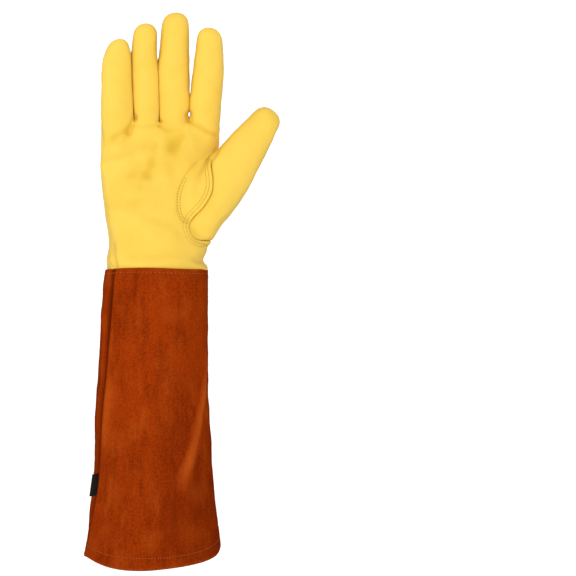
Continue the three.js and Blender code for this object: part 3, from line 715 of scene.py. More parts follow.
def normals_of(mesh):
    """The way that the skin faces at each point."""
    flat = np.empty(len(mesh.vertices) * 3)
    mesh.vertex_normals.foreach_get("vector", flat)
    return flat.reshape(-1, 3)


def flank_shade_of(mesh):
    """0 where the surface faces palm or back, 1 where it faces aside or up: the share of painted
    shade on the flanks.
    """
    return 1 - np.abs(normals_of(mesh)[:, 1])


def move_points(mesh, points):
    """Puts the mesh's points in new places."""
    mesh.vertices.foreach_set("co", np.ascontiguousarray(points, dtype=float).ravel())
    mesh.update()


def settle(points, edges, rounds):
    """Evens out a skin: each point moves half-way to the middle of its neighbours, in place."""
    count = np.bincount(edges.ravel(), minlength=len(points)).astype(float)
    a, b = edges[:, 0], edges[:, 1]
    for _ in range(rounds):
        for axis in range(3):
            column = points[:, axis]
            total = np.bincount(a, weights=column[b], minlength=len(points))
            total += np.bincount(b, weights=column[a], minlength=len(points))
            points[:, axis] = column + 0.5 * (total / count - column)
    return points


def edges_of(mesh):
    """The two ends of each edge."""
    pairs = np.empty(len(mesh.edges) * 2, dtype=np.int32)
    mesh.edges.foreach_get("vertices", pairs)
    return pairs.reshape(-1, 2)


NO_GUSSET = -9.0  # the gusset's distance on the back of the hand, where there is none


def hand_fields(form, points):
    """Signed distances that say which cut piece of leather each point belongs to."""
    x, y, z = points.T
    lap = read(form.lap, "across", np.minimum(z, form.lap["at"][-1])) - x
    side = y - form.side_seam(x, np.maximum(z, form.hand_base))
    fields = {
        "thumb": mix(form.inside("front", x, z), form.inside("back", x, z), smoothstep(y, -3, 3)),
        "gusset": np.where(y < 3, form.inside("gusset", x, z), NO_GUSSET),
        "behind": np.minimum(side, lap),
        "lap": lap,
        "side": side,
    }
    for gap, left, right in zip(GAPS, FINGERS, FINGERS[1:]):
        drop = form.crotch_tab if right[0] == "index" else form.crotch_point
        fields[gap] = within(x, z, form.fourchette_outline(left, right, drop))
    return fields


# Folds pressed into the leather: line of X and Z points, depth and width in millimetres
PALM_FOLDS = (
    (((-15.5, 372), (-17.6, 364), (-20, 357)), 1.5, 1.6),
    (((-18, 364), (-25, 357), (-34, 352)), 1.1, 3.0),
    (((5.7, 370), (5.8, 365)), 0.9, 1.3),
    (((-16, 364.5), (-6, 363.5), (5, 366)), 0.6, 2.0),
    (((6, 364), (13, 360.5), (24, 362), (30, 369)), 0.7, 2.4),
    (((30, 374), (34, 368), (47, 360), (55, 357.5)), 1.4, 2.0),
    (((26, 356), (18, 349), (9, 338)), 0.85, 4.5),
    (((14, 360), (16, 354)), 0.7, 5.0),
    (((4, 348), (0, 336), (-3, 320)), 1.0, 4.5),
    (((-22, 357), (-36, 349)), 0.8, 5.0),
    (((-6, 351), (-12, 338), (-13, 322)), 0.7, 6.0),
    (((22, 344), (17, 330), (20, 314)), 0.6, 6.0),
    (((-40, 286), (-18, 284)), 0.5, 3.0),
    (((-16, 336), (-20, 318)), 0.45, 6.0),
    (((-7, 322), (-10, 312)), 0.6, 4.0),
    (((-38, 300), (-16, 296), (2, 284)), 0.6, 6.0),
    (((-33.7, 262), (-32.2, 252), (-30.5, 243)), 1.3, 2.2),
    (((57, 348), (53.5, 341), (50.5, 335)), 1.0, 1.8),
    (((44, 258), (30, 262), (22, 272)), 0.5, 4.0),
)
PALM_RIDGES = (
    (((-43, 330), (-24, 334), (-4, 342)), 1.3, 5.0),
    (((7, 352), (8, 335), (12, 320)), 0.8, 5.0),
    (((31, 350), (27, 335), (31, 318)), 0.7, 8.0),
    (((-30, 290), (-8, 280), (14, 268), (16, 250)), 0.9, 9.0),
)
BACK_FOLDS = (
    (((38, 303), (24, 310), (7, 321)), 0.7, 3.0),
    (((33, 292), (22, 301), (12, 306)), 0.6, 2.4),
    (((20, 286), (14, 295), (4, 300)), 0.5, 2.2),
    (((-6, 284), (-10, 296), (-18, 305)), 0.5, 2.6),
    (((46, 360), (34, 356), (20, 357), (6, 353)), 0.5, 2.6),
    (((-14, 352), (-26, 357), (-36, 352)), 0.8, 2.6),
)


# How strongly the drawn ridges and folds stand out on the worn glove
RIDGE_PRESS, PALM_PRESS, BACK_PRESS = 1.5, 1.35, 1.7
DEEPEST = 2.4  # millimetres at which a hollow has its full painted shade
# The roll, pinch and roll on the thumb side of the wrist: height of the fold, width and rise
WRIST_FOLDS = ((257, 4, 1.2), (249, 3.5, -2.2), (242.5, 3, 1.2))
WEB_LEVELS = (330, 336)  # heights between which the web of the thumb begins
PUCKER_UP, PUCKER_DOWN = 15, 11  # how far the elastic's gathers run, in millimetres
STITCH_SINK = 0.1  # depth of the channel that a row of stitches pulls in
FOURCHETTE_LIFT = 1.1  # how far the feet of the fourchettes stand up between the fingers
GUSSET_ROWS = (0.8, 3.1)  # stitch rows inside the gusset's edge, in millimetres
LAP_ROWS_SET = (0.3, 0.6)  # how much further the two rows lie from the lap seam


def pressed(points, lines, weight):
    """Sum of soft grooves along lines drawn in the X and Z plane."""
    x, _, z = points.T
    total = np.zeros(len(points))
    for line, depth, width in lines:
        total += depth * bell(line_distance(x, z, line), width)
    return total * weight


def soft_relief(form, points, normals):
    """How far the worn leather stands in or out: folds, puckers and an uneven feel."""
    z = points[:, 2]
    palm_side = smoothstep(-normals[:, 1], 0.05, 0.6)
    back_side = smoothstep(normals[:, 1], 0.0, 0.5)
    uneven = np.clip(0.85 + 0.4 * waves(points, 16, 8), 0.3, 1.4)
    rise = RIDGE_PRESS * pressed(points, PALM_RIDGES, palm_side)
    rise -= PALM_PRESS * uneven * pressed(points, PALM_FOLDS, palm_side)
    rise -= BACK_PRESS * pressed(points, BACK_FOLDS, back_side)
    rise += back_side * wrist_pucker(form, points)
    rise += 0.45 * waves(points, 32, 3) + 0.14 * waves(points, 11, 4)
    near_cuff = bell(z - form.cuff_length - 6, 9)
    rise += 0.35 * near_cuff * np.sin(z / 2.6 + 1.5 * waves(points, 40, 5))
    return rise


def wrist_pucker(form, points):
    """Gathers that the elastic draws up and down from its line across the back of the wrist."""
    x, y, z = points.T
    middle_x, middle_y, half_width, half_depth = form.palm_section(z)
    turn = np.arctan2(y - middle_y, x - middle_x)
    around = turn * (half_width + half_depth) / 2
    drawn = smoothstep(read(form.lap, "across", z) - x, 0, 5) * smoothstep(turn, 0, 0.4)
    above = z - form.cuff_length - form.shirring_level
    fold = np.cos(2 * math.pi * around / form.shirring_pitch + 0.9 * np.sin(z / 6))
    fold *= bell(above, np.where(above > 0, PUCKER_UP, PUCKER_DOWN))
    return drawn * form.shirring_pucker * (fold - 1.6 * bell(above, 4))


def wrist_notch(points):
    """The fold that pinches the thumb side of the wrist, with a roll above and below it."""
    x, _, z = points.T
    folds = sum(rise * bell(z - height, width) for height, width, rise in WRIST_FOLDS)
    return smoothstep(x, 26, 40) * folds


def thumb_web(points):
    """1 on the web between thumb and index finger, where the thumb's seam lies flat."""
    return smoothstep(points[:, 2], *WEB_LEVELS) * (points[:, 1] < 4)


def seam_rise(form, fields, points, piece):
    """Grooves, lapped edges and stitch channels near the seams of one piece."""
    lift, groove = form.lap_lift, form.seam_groove
    thumb, gusset, behind, lap = (fields[key] for key in ("thumb", "gusset", "behind", "lap"))
    strip = piece.startswith("fourchette")
    rise = np.zeros(len(thumb))

    def channels(distance, *rows):
        return -STITCH_SINK * sum(bell(distance - row, 0.8) for row in rows)

    def lapped(distance, reach):
        return lift * (1 - smoothstep(distance, 0.5, reach)) - 0.3 * bell(distance, 0.6)

    if piece == "thumb":
        rise -= groove * bell(thumb, 1.5)
    else:
        rise += lapped(-thumb, 8)
        rise += channels(-thumb, form.row_near, form.row_far)
    if piece == "thumb_gusset":
        rise += channels(gusset, *GUSSET_ROWS) - 0.1 * bell(gusset, 0.9)
    if piece == "palm":
        rise -= 0.1 * bell(gusset, 0.8)
        upper = smoothstep(fields["side"], -1, 2)
        rise += upper * lapped(-lap, 9)
        rise += upper * channels(-lap, *form.lap_rows)
        rise -= 0.6 * groove * bell(behind, 1.0) * (1 - upper)
    if piece == "back":
        rise -= 0.7 * groove * bell(behind, 1.6)
    if piece == "back" or strip:
        for gap in GAPS:
            rise -= (0.5 * groove if strip else 0.3) * bell(fields[gap], 1.1)
    rise *= 1 - 0.8 * thumb_web(points)
    if strip:
        foot = (1 - smoothstep(points[:, 2], 370, 377)) * (points[:, 1] > 0)
        rise += FOURCHETTE_LIFT * foot
    return rise


def cut_along(bm, field, condition):
    """Cuts the skin along the line where a signed distance passes through nothing."""
    distance = bm.verts.layers.float[field]
    home = bm.verts.layers.float_vector["home"]
    crossed = []
    for face in bm.faces:
        values = [v[distance] for v in face.verts]
        if min(values) < 0 < max(values) and condition(face.verts[0]):
            crossed.append(face)
    verts = {v for face in crossed for v in face.verts}
    edges = {e for face in crossed for e in face.edges}
    for vert in verts:
        vert.co.x = vert[distance]
    bmesh.ops.bisect_plane(
        bm, geom=list(verts) + list(edges) + crossed, dist=1e-4, plane_no=(1, 0, 0),
    )
    for vert in bm.verts:
        vert.co = vert[home]


def add_attribute(mesh, name, values):
    """Keeps a number, or a place, for each of the mesh's points."""
    kind = "FLOAT_VECTOR" if values.ndim == 2 else "FLOAT"
    layer = mesh.attributes.new(name, kind, "POINT")
    layer.data.foreach_set("vector" if values.ndim == 2 else "value", values.ravel())


def attribute(mesh, name, width=1):
    """Reads back what add_attribute keeps."""
    flat = np.empty(len(mesh.vertices) * width)
    mesh.attributes[name].data.foreach_get("vector" if width == 3 else "value", flat)
    return flat.reshape(-1, 3) if width == 3 else flat


FIELDS = ("thumb", "gusset", "behind", *GAPS, "lap", "side")


# Rounds of evening out: the melted skin, the slack leather of the gusset and the pressed folds
MELT_ROUNDS, SLACK_ROUNDS, FOLD_ROUNDS = 14, 90, 2


def shaped_skin(form):
    """The hand's skin, worn and with its fingers together, keeping each point's seam distances."""
    skin = hand_blank(form)
    edges = edges_of(skin)
    points = settle(points_of(skin), edges, MELT_ROUNDS)
    x, y, z = points.T
    on_thumb = form.inside("front", x, z) > -2
    together = fingers_touch(form, fingers_together(form, x, z), z)
    points[:, 0] = np.where(on_thumb, x, together)
    slack = smoothstep(form.inside("gusset", x, z), -4, 3) * smoothstep(-y, -4, 4)
    points = mix(points, settle(points.copy(), edges, SLACK_ROUNDS), slack[:, None])
    move_points(skin, points)
    normals = normals_of(skin)
    relief = soft_relief(form, points, normals)
    points = settle(points + normals * relief[:, None], edges, FOLD_ROUNDS)
    move_points(skin, points)
    # Painted shade in the leather's folds: how deep each point is pressed in
    add_attribute(skin, "hollow", np.clip(-relief / DEEPEST, 0, 1))
    fields = hand_fields(form, points)
    for name in FIELDS:
        add_attribute(skin, name, fields[name])
    points = points + normals * wrist_notch(points)[:, None]
    move_points(skin, points)
    add_attribute(skin, "home", points)
    add_attribute(skin, "way", normals_of(skin))
    return skin


def owners(skin):
    """Name of the cut piece that each face of the skin belongs to."""
    starts = np.empty(len(skin.polygons), dtype=np.int32)
    skin.polygons.foreach_get("loop_start", starts)
    corners = np.empty(len(skin.loops), dtype=np.int32)
    skin.loops.foreach_get("vertex_index", corners)
    sizes = np.diff(np.append(starts, len(corners)))
    mean = {
        name: np.add.reduceat(attribute(skin, name)[corners], starts) / sizes for name in FIELDS
    }
    owner = np.full(len(starts), "palm", dtype=object)
    owner[mean["gusset"] > 0] = "thumb_gusset"
    owner[mean["behind"] > 0] = "back"
    for gap in GAPS:
        owner[(mean["behind"] > 0) & (mean[gap] > 0)] = f"fourchette_{gap}"
    owner[mean["thumb"] > 0] = "thumb"
    return owner


def drop_crumbs(bm):
    """Keeps the largest island of a cut piece."""
    left = set(bm.faces)
    islands = []
    while left:
        stack = [left.pop()]
        island = list(stack)
        while stack:
            near = {face for edge in stack.pop().edges for face in edge.link_faces} & left
            left -= near
            stack.extend(near)
            island.extend(near)
        islands.append(island)
    largest = max(islands, key=len)
    crumbs = [face for island in islands if island is not largest for face in island]
    bmesh.ops.delete(bm, geom=crumbs, context="FACES")


def cut_hand(form):
    """The seven cut pieces of the leather hand, as meshes in millimetres."""
    skin = shaped_skin(form)
    bm = bmesh.new()
    bm.from_mesh(skin)
    bmesh.ops.bisect_plane(
        bm, geom=list(bm.verts) + list(bm.edges) + list(bm.faces), dist=1e-4,
        plane_co=(0, 0, form.hand_base), plane_no=(0, 0, 1), clear_inner=True,
    )
    thumb = bm.verts.layers.float["thumb"]
    behind = bm.verts.layers.float["behind"]
    cut_along(bm, "thumb", lambda v: True)
    cut_along(bm, "gusset", lambda v: v[thumb] < 0.5)
    cut_along(bm, "behind", lambda v: v[thumb] < 0.5)
    for gap in GAPS:
        cut_along(bm, gap, lambda v: v[behind] > -0.5)
    bm.to_mesh(skin)
    bm.free()

    pieces, owner = {}, owners(skin)
    for piece in sorted(set(owner)):
        bm = bmesh.new()
        bm.from_mesh(skin)
        bm.faces.ensure_lookup_table()
        others = [bm.faces[i] for i in np.flatnonzero(owner != piece)]
        bmesh.ops.delete(bm, geom=others, context="FACES")
        drop_crumbs(bm)
        mesh = mesh_from(bm, piece)
        points = points_of(mesh)
        rise = seam_rise(form, {name: attribute(mesh, name) for name in FIELDS}, points, piece)
        move_points(mesh, points + attribute(mesh, "way", 3) * rise[:, None])
        pieces[piece] = mesh
    bpy.data.meshes.remove(skin)
    return pieces


def finish_piece(name, mesh, material, wall=0.0, replaces=(), smooth=True):
    """Turns a mesh in millimetres into a finished piece of the gauntlet."""
    mesh.transform(Matrix.Scale(MM, 4))
    mesh.polygons.foreach_set("use_smooth", [smooth] * len(mesh.polygons))
    mesh.name = name
    mesh.materials.clear()
    mesh.materials.append(material)
    piece = bpy.data.objects.new(name, mesh)
    bpy.context.collection.objects.link(piece)
    if wall:
        thick = piece.modifiers.new("Thickness", "SOLIDIFY")
        thick.thickness = wall * MM
        thick.offset = -1.0
    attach(piece, "root")
    for node in replaces:
        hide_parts(node)
    return piece


def chain(pairs, points):
    """Orders loose edges into lines of points, the longest first."""
    links = {}
    for a, b in pairs:
        links.setdefault(a, []).append(b)
        links.setdefault(b, []).append(a)
    lines, seen = [], set()
    ends = [k for k, v in links.items() if len(v) == 1] + list(links)
    for start in ends:
        if start in seen:
            continue
        line = [start]
        seen.add(start)
        while True:
            ahead = [k for k in links[line[-1]] if k not in seen]
            if not ahead:
                break
            line.append(ahead[0])
            seen.add(ahead[0])
        lines.append(np.array([points[k] for k in line]))
    return sorted(lines, key=len, reverse=True)


def even(line, pitch):
    """Smooths a line of points and spaces them evenly."""
    line = line.copy()
    for _ in range(12):
        line[1:-1] = (line[:-2] + 2 * line[1:-1] + line[2:]) / 4
    steps = np.linalg.norm(np.diff(line, axis=0), axis=1)
    along = np.append(0, np.cumsum(steps))
    count = max(int(along[-1] / pitch), 1)
    at = np.linspace(0, along[-1], count + 1)
    return np.stack([np.interp(at, along, line[:, i]) for i in range(3)], axis=-1)


FEWEST_POINTS = 12  # a shorter line is a crumb of the cut, not a seam


def seam_lines(mesh, field, condition):
    """Lines of a piece's edge where a seam's distance is nothing."""
    bm = bmesh.new()
    bm.from_mesh(mesh)
    layer = bm.verts.layers.float[field]
    pairs = [
        (edge.verts[0].index, edge.verts[1].index) for edge in bm.edges
        if edge.is_boundary and all(abs(v[layer]) < 0.02 for v in edge.verts)
        and condition(edge.verts[0])
    ]
    points = {v.index: tuple(v.co) for v in bm.verts}
    bm.free()
    return [line for line in chain(pairs, points) if len(line) >= FEWEST_POINTS]


class Skin:
    """The outside of some pieces, for laying threads on it."""

    def __init__(self, meshes):
        points, faces = [], []
        for mesh in meshes:
            start = len(points)
            points.extend(Vector(p) for p in points_of(mesh))
            faces.extend([start + k for k in face.vertices] for face in mesh.polygons)
        self.tree = BVHTree.FromPolygons(points, faces)

    def lay(self, line, aside, belongs):
        """Moves a line of points sideways over the skin, to the side where belongs is greater."""
        laid = []
        for i, point in enumerate(line):
            along = Vector(line[min(i + 1, len(line) - 1)] - line[max(i - 1, 0)]).normalized()
            at, normal, _, _ = self.tree.find_nearest(Vector(point))
            side = normal.cross(along).normalized()
            if belongs(at - side * 2.5) > belongs(at + side * 2.5):
                side = -side
            near, normal, _, _ = self.tree.find_nearest(at + side * aside)
            laid.append((near, normal))
        return laid

    def stretch(self, line):
        """Moves a line of points straight on to the skin."""
        return [self.tree.find_nearest(Vector(point))[:2] for point in line]


SHORTEST_STITCH, LONGEST_STITCH = 0.5, 9.0  # anything else is a jump between two lines
STITCH_SHARE, CUFF_STITCH_SHARE, ZIGZAG_SHARE = 0.6, 0.7, 1.05  # thread shown per stitch
STITCH_LIFT, HOLE_RADIUS = 0.12, 0.7  # as shares of the thread's thickness
HOLE_LIFT = 0.08  # millimetres above the leather, so that the painted shade of the hole shows
ELASTIC_THREAD = 1.2  # thickness of the zigzag's thread, as a share of the others'
BATCH = 40  # stitches or hairs modelled at a time, which is quicker than all at once


def sew(bm, holes, laid, thread, share=STITCH_SHARE):
    """Sews one row: a grain-shaped stitch between two needle holes, with a dark disc of painted
    shade at each hole, again and again.
    """
    pairs = list(zip(laid, laid[1:]))
    for first in range(0, len(pairs), BATCH):
        some, pierced = bmesh.new(), bmesh.new()
        for (a, up), (b, _) in pairs[first:first + BATCH]:
            along = b - a
            length = along.length
            if length < SHORTEST_STITCH or length > LONGEST_STITCH:
                continue
            along.normalize()
            side = up.cross(along).normalized()
            turn = Matrix((along, side, along.cross(side))).transposed().to_4x4()
            middle = Matrix.Translation((a + b) / 2 + up * thread * STITCH_LIFT) @ turn
            long = Matrix.Diagonal((thread / 2, thread / 2, length * share / 2, 1))
            bmesh.ops.create_uvsphere(
                some, u_segments=6, v_segments=5, radius=1,
                matrix=middle @ Matrix.Rotation(math.pi / 2, 4, "Y") @ long,
            )
            # A dark disc of painted shade at the needle hole
            bmesh.ops.create_circle(
                pierced, cap_ends=True, segments=6, radius=thread * HOLE_RADIUS,
                matrix=Matrix.Translation(a + up * HOLE_LIFT) @ turn,
            )
        join(bm, some)
        join(holes, pierced)


def fill(tree, node, values):
    """Fills a node's inputs: links what another node gives, and sets the rest."""
    for name, value in values.items():
        socket = node.inputs[name]
        if isinstance(value, bpy.types.NodeSocket):
            tree.links.new(value, socket)
        else:
            socket.default_value = (*value[:3], 1) if socket.type == "RGBA" else value


def new_node(tree, kind, values, **settings):
    """A new shader node of a kind, with its settings made and its inputs filled."""
    node = tree.nodes.new("ShaderNode" + kind)
    for name, value in settings.items():
        setattr(node, name, value)
    fill(tree, node, values)
    return node


def noise_node(tree, place, scale, detail=3.0, roughness=0.5, gives="Fac"):
    """Soft unevenness, as a value or as a colour."""
    return new_node(tree, "TexNoise", {
        "Vector": place, "Scale": scale, "Detail": detail, "Roughness": roughness,
    }).outputs[gives]


def blend_node(tree, share, a, b):
    """A colour mix node, whose ends may be sockets or colours."""
    return new_node(tree, "Mix", {0: share, 6: a, 7: b}, data_type="RGBA").outputs[2]


def sum_node(tree, mode, *values, clamp=False):
    """The sum or product of two values."""
    both = dict(enumerate(values))
    return new_node(tree, "Math", both, operation=mode, use_clamp=clamp).outputs[0]


def range_node(tree, value, low, high, to_low=0.0, to_high=1.0):
    """Carries a range of values softly over to another."""
    return new_node(tree, "MapRange", {
        "Value": value, "From Min": low, "From Max": high, "To Min": to_low, "To Max": to_high,
    }, interpolation_type="SMOOTHSTEP").outputs["Result"]


def new_group(name, inputs, outputs):
    """A node group with its named inputs and outputs."""
    tree = bpy.data.node_groups.new(name, "ShaderNodeTree")
    for title, kind, value in inputs:
        socket = tree.interface.new_socket(name=title, in_out="INPUT", socket_type=kind)
        if value is not None:
            socket.default_value = value
    for title, kind in outputs:
        tree.interface.new_socket(name=title, in_out="OUTPUT", socket_type=kind)
    return tree, tree.nodes.new("NodeGroupInput"), tree.nodes.new("NodeGroupOutput")


FLOAT, COLOR, VECTOR = "NodeSocketFloat", "NodeSocketColor", "NodeSocketVector"


def grain_group():
    """Grain leather: fine pebbled grain, pores and soft clouding, with painted shade in its hollows
    and at its seams.
    """
    if "Grain leather" in bpy.data.node_groups:
        return bpy.data.node_groups["Grain leather"]
    tree, take, give = new_group(
        "Grain leather",
        (("Vector", VECTOR, None), ("Color", COLOR, None), ("Deep", COLOR, None),
         ("Seam", FLOAT, 20.0), ("Hollow", FLOAT, 0.0)),
        (("Color", COLOR), ("Roughness", FLOAT), ("Height", FLOAT)),
    )
    place, seam = take.outputs["Vector"], take.outputs["Seam"]
    plain, deep = take.outputs["Color"], take.outputs["Deep"]
    cloud = noise_node(tree, place, 26)
    fine = noise_node(tree, place, 240, 2)
    warp = noise_node(tree, place, 700, 2, gives="Color")
    bent = new_node(tree, "Mix", {0: 0.0012, 4: place, 5: warp}, data_type="VECTOR").outputs[1]
    pebble = new_node(
        tree, "TexVoronoi", {"Vector": bent, "Scale": 1150}, feature="DISTANCE_TO_EDGE",
    ).outputs["Distance"]
    shade = range_node(tree, cloud, 0.38, 0.72, 0.0, 0.24)
    # Random clouding and fine noise, with painted shade in the folds and near the seams
    for more in (
        range_node(tree, take.outputs["Hollow"], 0.05, 1.0, 0.0, 0.6),
        sum_node(tree, "MULTIPLY", fine, 0.1),
        range_node(tree, seam, 0.0, 0.8, 0.5, 0.0),
        range_node(tree, seam, 0.0, 6.0, 0.12, 0.0),
    ):
        shade = sum_node(tree, "ADD", shade, more, clamp=True)
    tone = blend_node(tree, shade, plain, deep)
    creased = range_node(tree, pebble, 0.0, 0.08, 0.10, 0.0)
    cells = range_node(tree, pebble, 0.0, 0.16)
    height = sum_node(
        tree, "ADD", sum_node(tree, "MULTIPLY", cells, 0.35), sum_node(tree, "MULTIPLY", fine, 0.9),
    )
    fill(tree, give, {
        "Color": blend_node(tree, creased, tone, deep),
        "Roughness": range_node(tree, fine, 0.3, 0.7, 0.5, 0.62),
        "Height": height,
    })
    return tree


SEAM_VALLEY_SHADE = (0.03, 0.004, 0.0006)  # painted shade: near-black suede in the bottom of a sunk seam


def nap_group():
    """Split suede: brushed nap in light and dark patches, upright streaks and loose fibres, painted
    shade towards the mouth and in the seams, and a painted highlight on the ridges.
    """
    if "Suede nap" in bpy.data.node_groups:
        return bpy.data.node_groups["Suede nap"]
    tree, take, give = new_group(
        "Suede nap",
        (("Vector", VECTOR, None), ("Color", COLOR, None), ("Dark", COLOR, None),
         ("Light", COLOR, None), ("Ridge", FLOAT, 0.0), ("Seam", FLOAT, 20.0)),
        (("Color", COLOR), ("Roughness", FLOAT), ("Height", FLOAT)),
    )
    place, seam, light = (take.outputs[name] for name in ("Vector", "Seam", "Light"))
    brushed, drawn = (
        new_node(tree, "Mapping", {"Vector": place, "Scale": (1.0, 1.0, upright)}).outputs["Vector"]
        for upright in (0.42, 0.09)
    )
    streaks = noise_node(tree, drawn, 210, 3, 0.6)
    patches = noise_node(tree, brushed, 22)
    rubbed = noise_node(tree, brushed, 75, 4, 0.6)
    blotch = noise_node(tree, place, 60, 4, 0.6)
    speck = noise_node(tree, place, 640, 3, 0.7)
    fibre = noise_node(tree, place, 2100, 2, 0.7)
    # Painted shade: the nap is darker towards the cuff's mouth, up to 0.2 metres above it
    up = new_node(tree, "SeparateXYZ", {"Vector": place}).outputs["Z"]
    dark = range_node(tree, up, 0.0, 0.2, 0.36, 0.0)
    # Brushed patches, blotches, specks and streaks, with painted shade near the seams
    for value, low, high, at_low, at_high in (
        (patches, 0.42, 0.72, 0.0, 0.36), (blotch, 0.46, 0.75, 0.0, 0.3),
        (speck, 0.42, 0.62, 0.0, 0.5), (streaks, 0.45, 0.75, 0.0, 0.42), (seam, 0.0, 3.5, 0.6, 0.0),
    ):
        more = range_node(tree, value, low, high, at_low, at_high)
        dark = sum_node(tree, "ADD", dark, more, clamp=True)
    # Rubbed patches, and the painted highlight on the ridges
    rubbed_and_highlight = sum_node(
        tree, "ADD", range_node(tree, rubbed, 0.5, 0.75, 0.0, 0.3),
        sum_node(tree, "MULTIPLY", take.outputs["Ridge"], 0.75), clamp=True,
    )
    tone = blend_node(tree, dark, take.outputs["Color"], take.outputs["Dark"])
    # Paler where rubbed, under the painted highlight and on fibres; near black at a seam's bottom
    # for painted shade
    for share, end in (
        (rubbed_and_highlight, light),
        (range_node(tree, fibre, 0.54, 0.74, 0.0, 0.5), light),
        (range_node(tree, seam, 0.2, 1.3, 0.65, 0.0), SEAM_VALLEY_SHADE),
    ):
        tone = blend_node(tree, share, tone, end)
    height = sum_node(tree, "ADD", sum_node(tree, "MULTIPLY", fibre, 0.5), speck)
    fill(tree, give, {
        "Color": tone,
        "Roughness": range_node(tree, speck, 0.3, 0.7, 0.88, 1.0),
        "Height": sum_node(tree, "ADD", height, sum_node(tree, "MULTIPLY", blotch, 1.2)),
    })
    return tree


def coordinates(tree):
    """Places on the gauntlet itself, in metres."""
    return new_node(tree, "TexCoord", {}).outputs["Object"]


def attribute_node(tree, name):
    """A number kept with the points of the mesh."""
    return new_node(tree, "Attribute", {}, attribute_name=name).outputs["Fac"]


def plain_material(name):
    """A material with only its Principled shader; returns the material, its tree and the shader."""
    material = bpy.data.materials.new(name)
    material.use_nodes = True
    tree = material.node_tree
    shader = next(n for n in tree.nodes if n.type == "BSDF_PRINCIPLED")
    return material, tree, shader


def bump_node(tree, height, strength, distance):
    """A fine relief that only the light sees, so many metres deep."""
    values = {"Strength": strength, "Distance": distance, "Height": height}
    return new_node(tree, "Bump", values).outputs["Normal"]


def flank_shade_share(tree, most, start=0.25):
    """How much painted shade lies on the flanks of a piece, which face neither palm nor back."""
    return range_node(tree, attribute_node(tree, "flank"), start, 0.95, 0.0, most)


def toned(colour, *shares):
    """A colour times one share, or times a share each for its red, green and blue."""
    return tuple(c * share for c, share in zip(colour, shares * (3 // len(shares))))


def leather_material(name, colours):
    """Golden grain leather, with painted shade in its hollows, at its seams and on its flanks."""
    if name in bpy.data.materials:
        return bpy.data.materials[name]
    material, tree, shader = plain_material(name)
    grain = new_node(tree, "Group", {}, node_tree=grain_group())
    fill(tree, grain, {
        "Vector": coordinates(tree), "Seam": attribute_node(tree, "seam"),
        "Hollow": attribute_node(tree, "hollow"), "Color": colours.leather,
        "Deep": colours.leather_deep,
    })
    # Painted shade on the flanks, where the light falls off towards the sides
    flank = toned(colours.leather, 0.64, 0.6, 0.42)
    fill(tree, shader, {
        "Base Color": blend_node(tree, flank_shade_share(tree, 0.8), grain.outputs["Color"], flank),
        "Roughness": grain.outputs["Roughness"],
        "Normal": bump_node(tree, grain.outputs["Height"], 0.35, 0.0003),
        "Specular IOR Level": 0.14,
    })
    return material


def suede_material(name, colours):
    """Brushed suede, with painted shade in its seams and on its flanks and a painted highlight on
    its ridges.
    """
    if name in bpy.data.materials:
        return bpy.data.materials[name]
    material, tree, shader = plain_material(name)
    nap = new_node(tree, "Group", {}, node_tree=nap_group())
    fill(tree, nap, {
        "Vector": coordinates(tree), "Ridge": attribute_node(tree, "ridge"),
        "Seam": attribute_node(tree, "seam"), "Color": colours.suede,
        "Dark": colours.suede_dark, "Light": colours.suede_light,
    })
    # Painted shade on the flanks, where the light falls off towards the sides
    flank = toned(colours.suede_dark, 0.7)
    fill(tree, shader, {
        "Base Color": blend_node(tree, flank_shade_share(tree, 0.65, 0.5), nap.outputs["Color"], flank),
        "Roughness": nap.outputs["Roughness"],
        "Normal": bump_node(tree, nap.outputs["Height"], 0.8, 0.0006),
        "Specular IOR Level": 0.0,
    })
    return material


def thread_material(name, tone, twist=1900):
    """Twisted sewing thread: fine slanted strands over the thread's own colour."""
    if name in bpy.data.materials:
        return bpy.data.materials[name]
    material, tree, shader = plain_material(name)
    strands = new_node(tree, "TexWave", {
        "Scale": twist, "Distortion": 1.5, "Vector": coordinates(tree),
    }).outputs["Fac"]
    fill(tree, shader, {
        "Base Color": blend_node(tree, strands, toned(tone, 0.6), tone),
        "Normal": bump_node(tree, strands, 0.4, 0.0001),
        "Roughness": 0.8,
        "Specular IOR Level": 0.08,
    })
    return material


def tape_material(name, tone):
    """Woven label tape: fine ribs both ways."""
    material, tree, shader = plain_material(name)
    place = coordinates(tree)
    weave = sum_node(tree, "MULTIPLY", *(
        new_node(
            tree, "TexWave", {"Scale": 900, "Vector": place}, bands_direction=way,
        ).outputs["Fac"] for way in ("X", "Z")
    ))
    fill(tree, shader, {
        "Base Color": blend_node(tree, weave, tone, toned(tone, 1.6)),
        "Normal": bump_node(tree, weave, 0.5, 0.0002),
        "Roughness": 0.8,
        "Specular IOR Level": 0.1,
    })
    return material


def paper_material(name, tone):
    """Plain pale paper that glows a little behind the glove, so that it stays clean white."""
    material, tree, shader = plain_material(name)
    fleck = noise_node(tree, coordinates(tree), 30, 2)
    back = new_node(tree, "SeparateXYZ", {"Vector": coordinates(tree)}).outputs["Y"]
    fill(tree, shader, {
        "Base Color": blend_node(tree, fleck, toned(tone, 0.995), tone),
        "Roughness": 0.9,
        "Emission Color": (1, 1, 1),
        "Emission Strength": range_node(tree, back, 0.2, 0.8, 0.0, 0.35),
    })
    return material


FAR_FROM_SEAM = 20.0  # millimetres from a seam at which its painted shade no longer shows


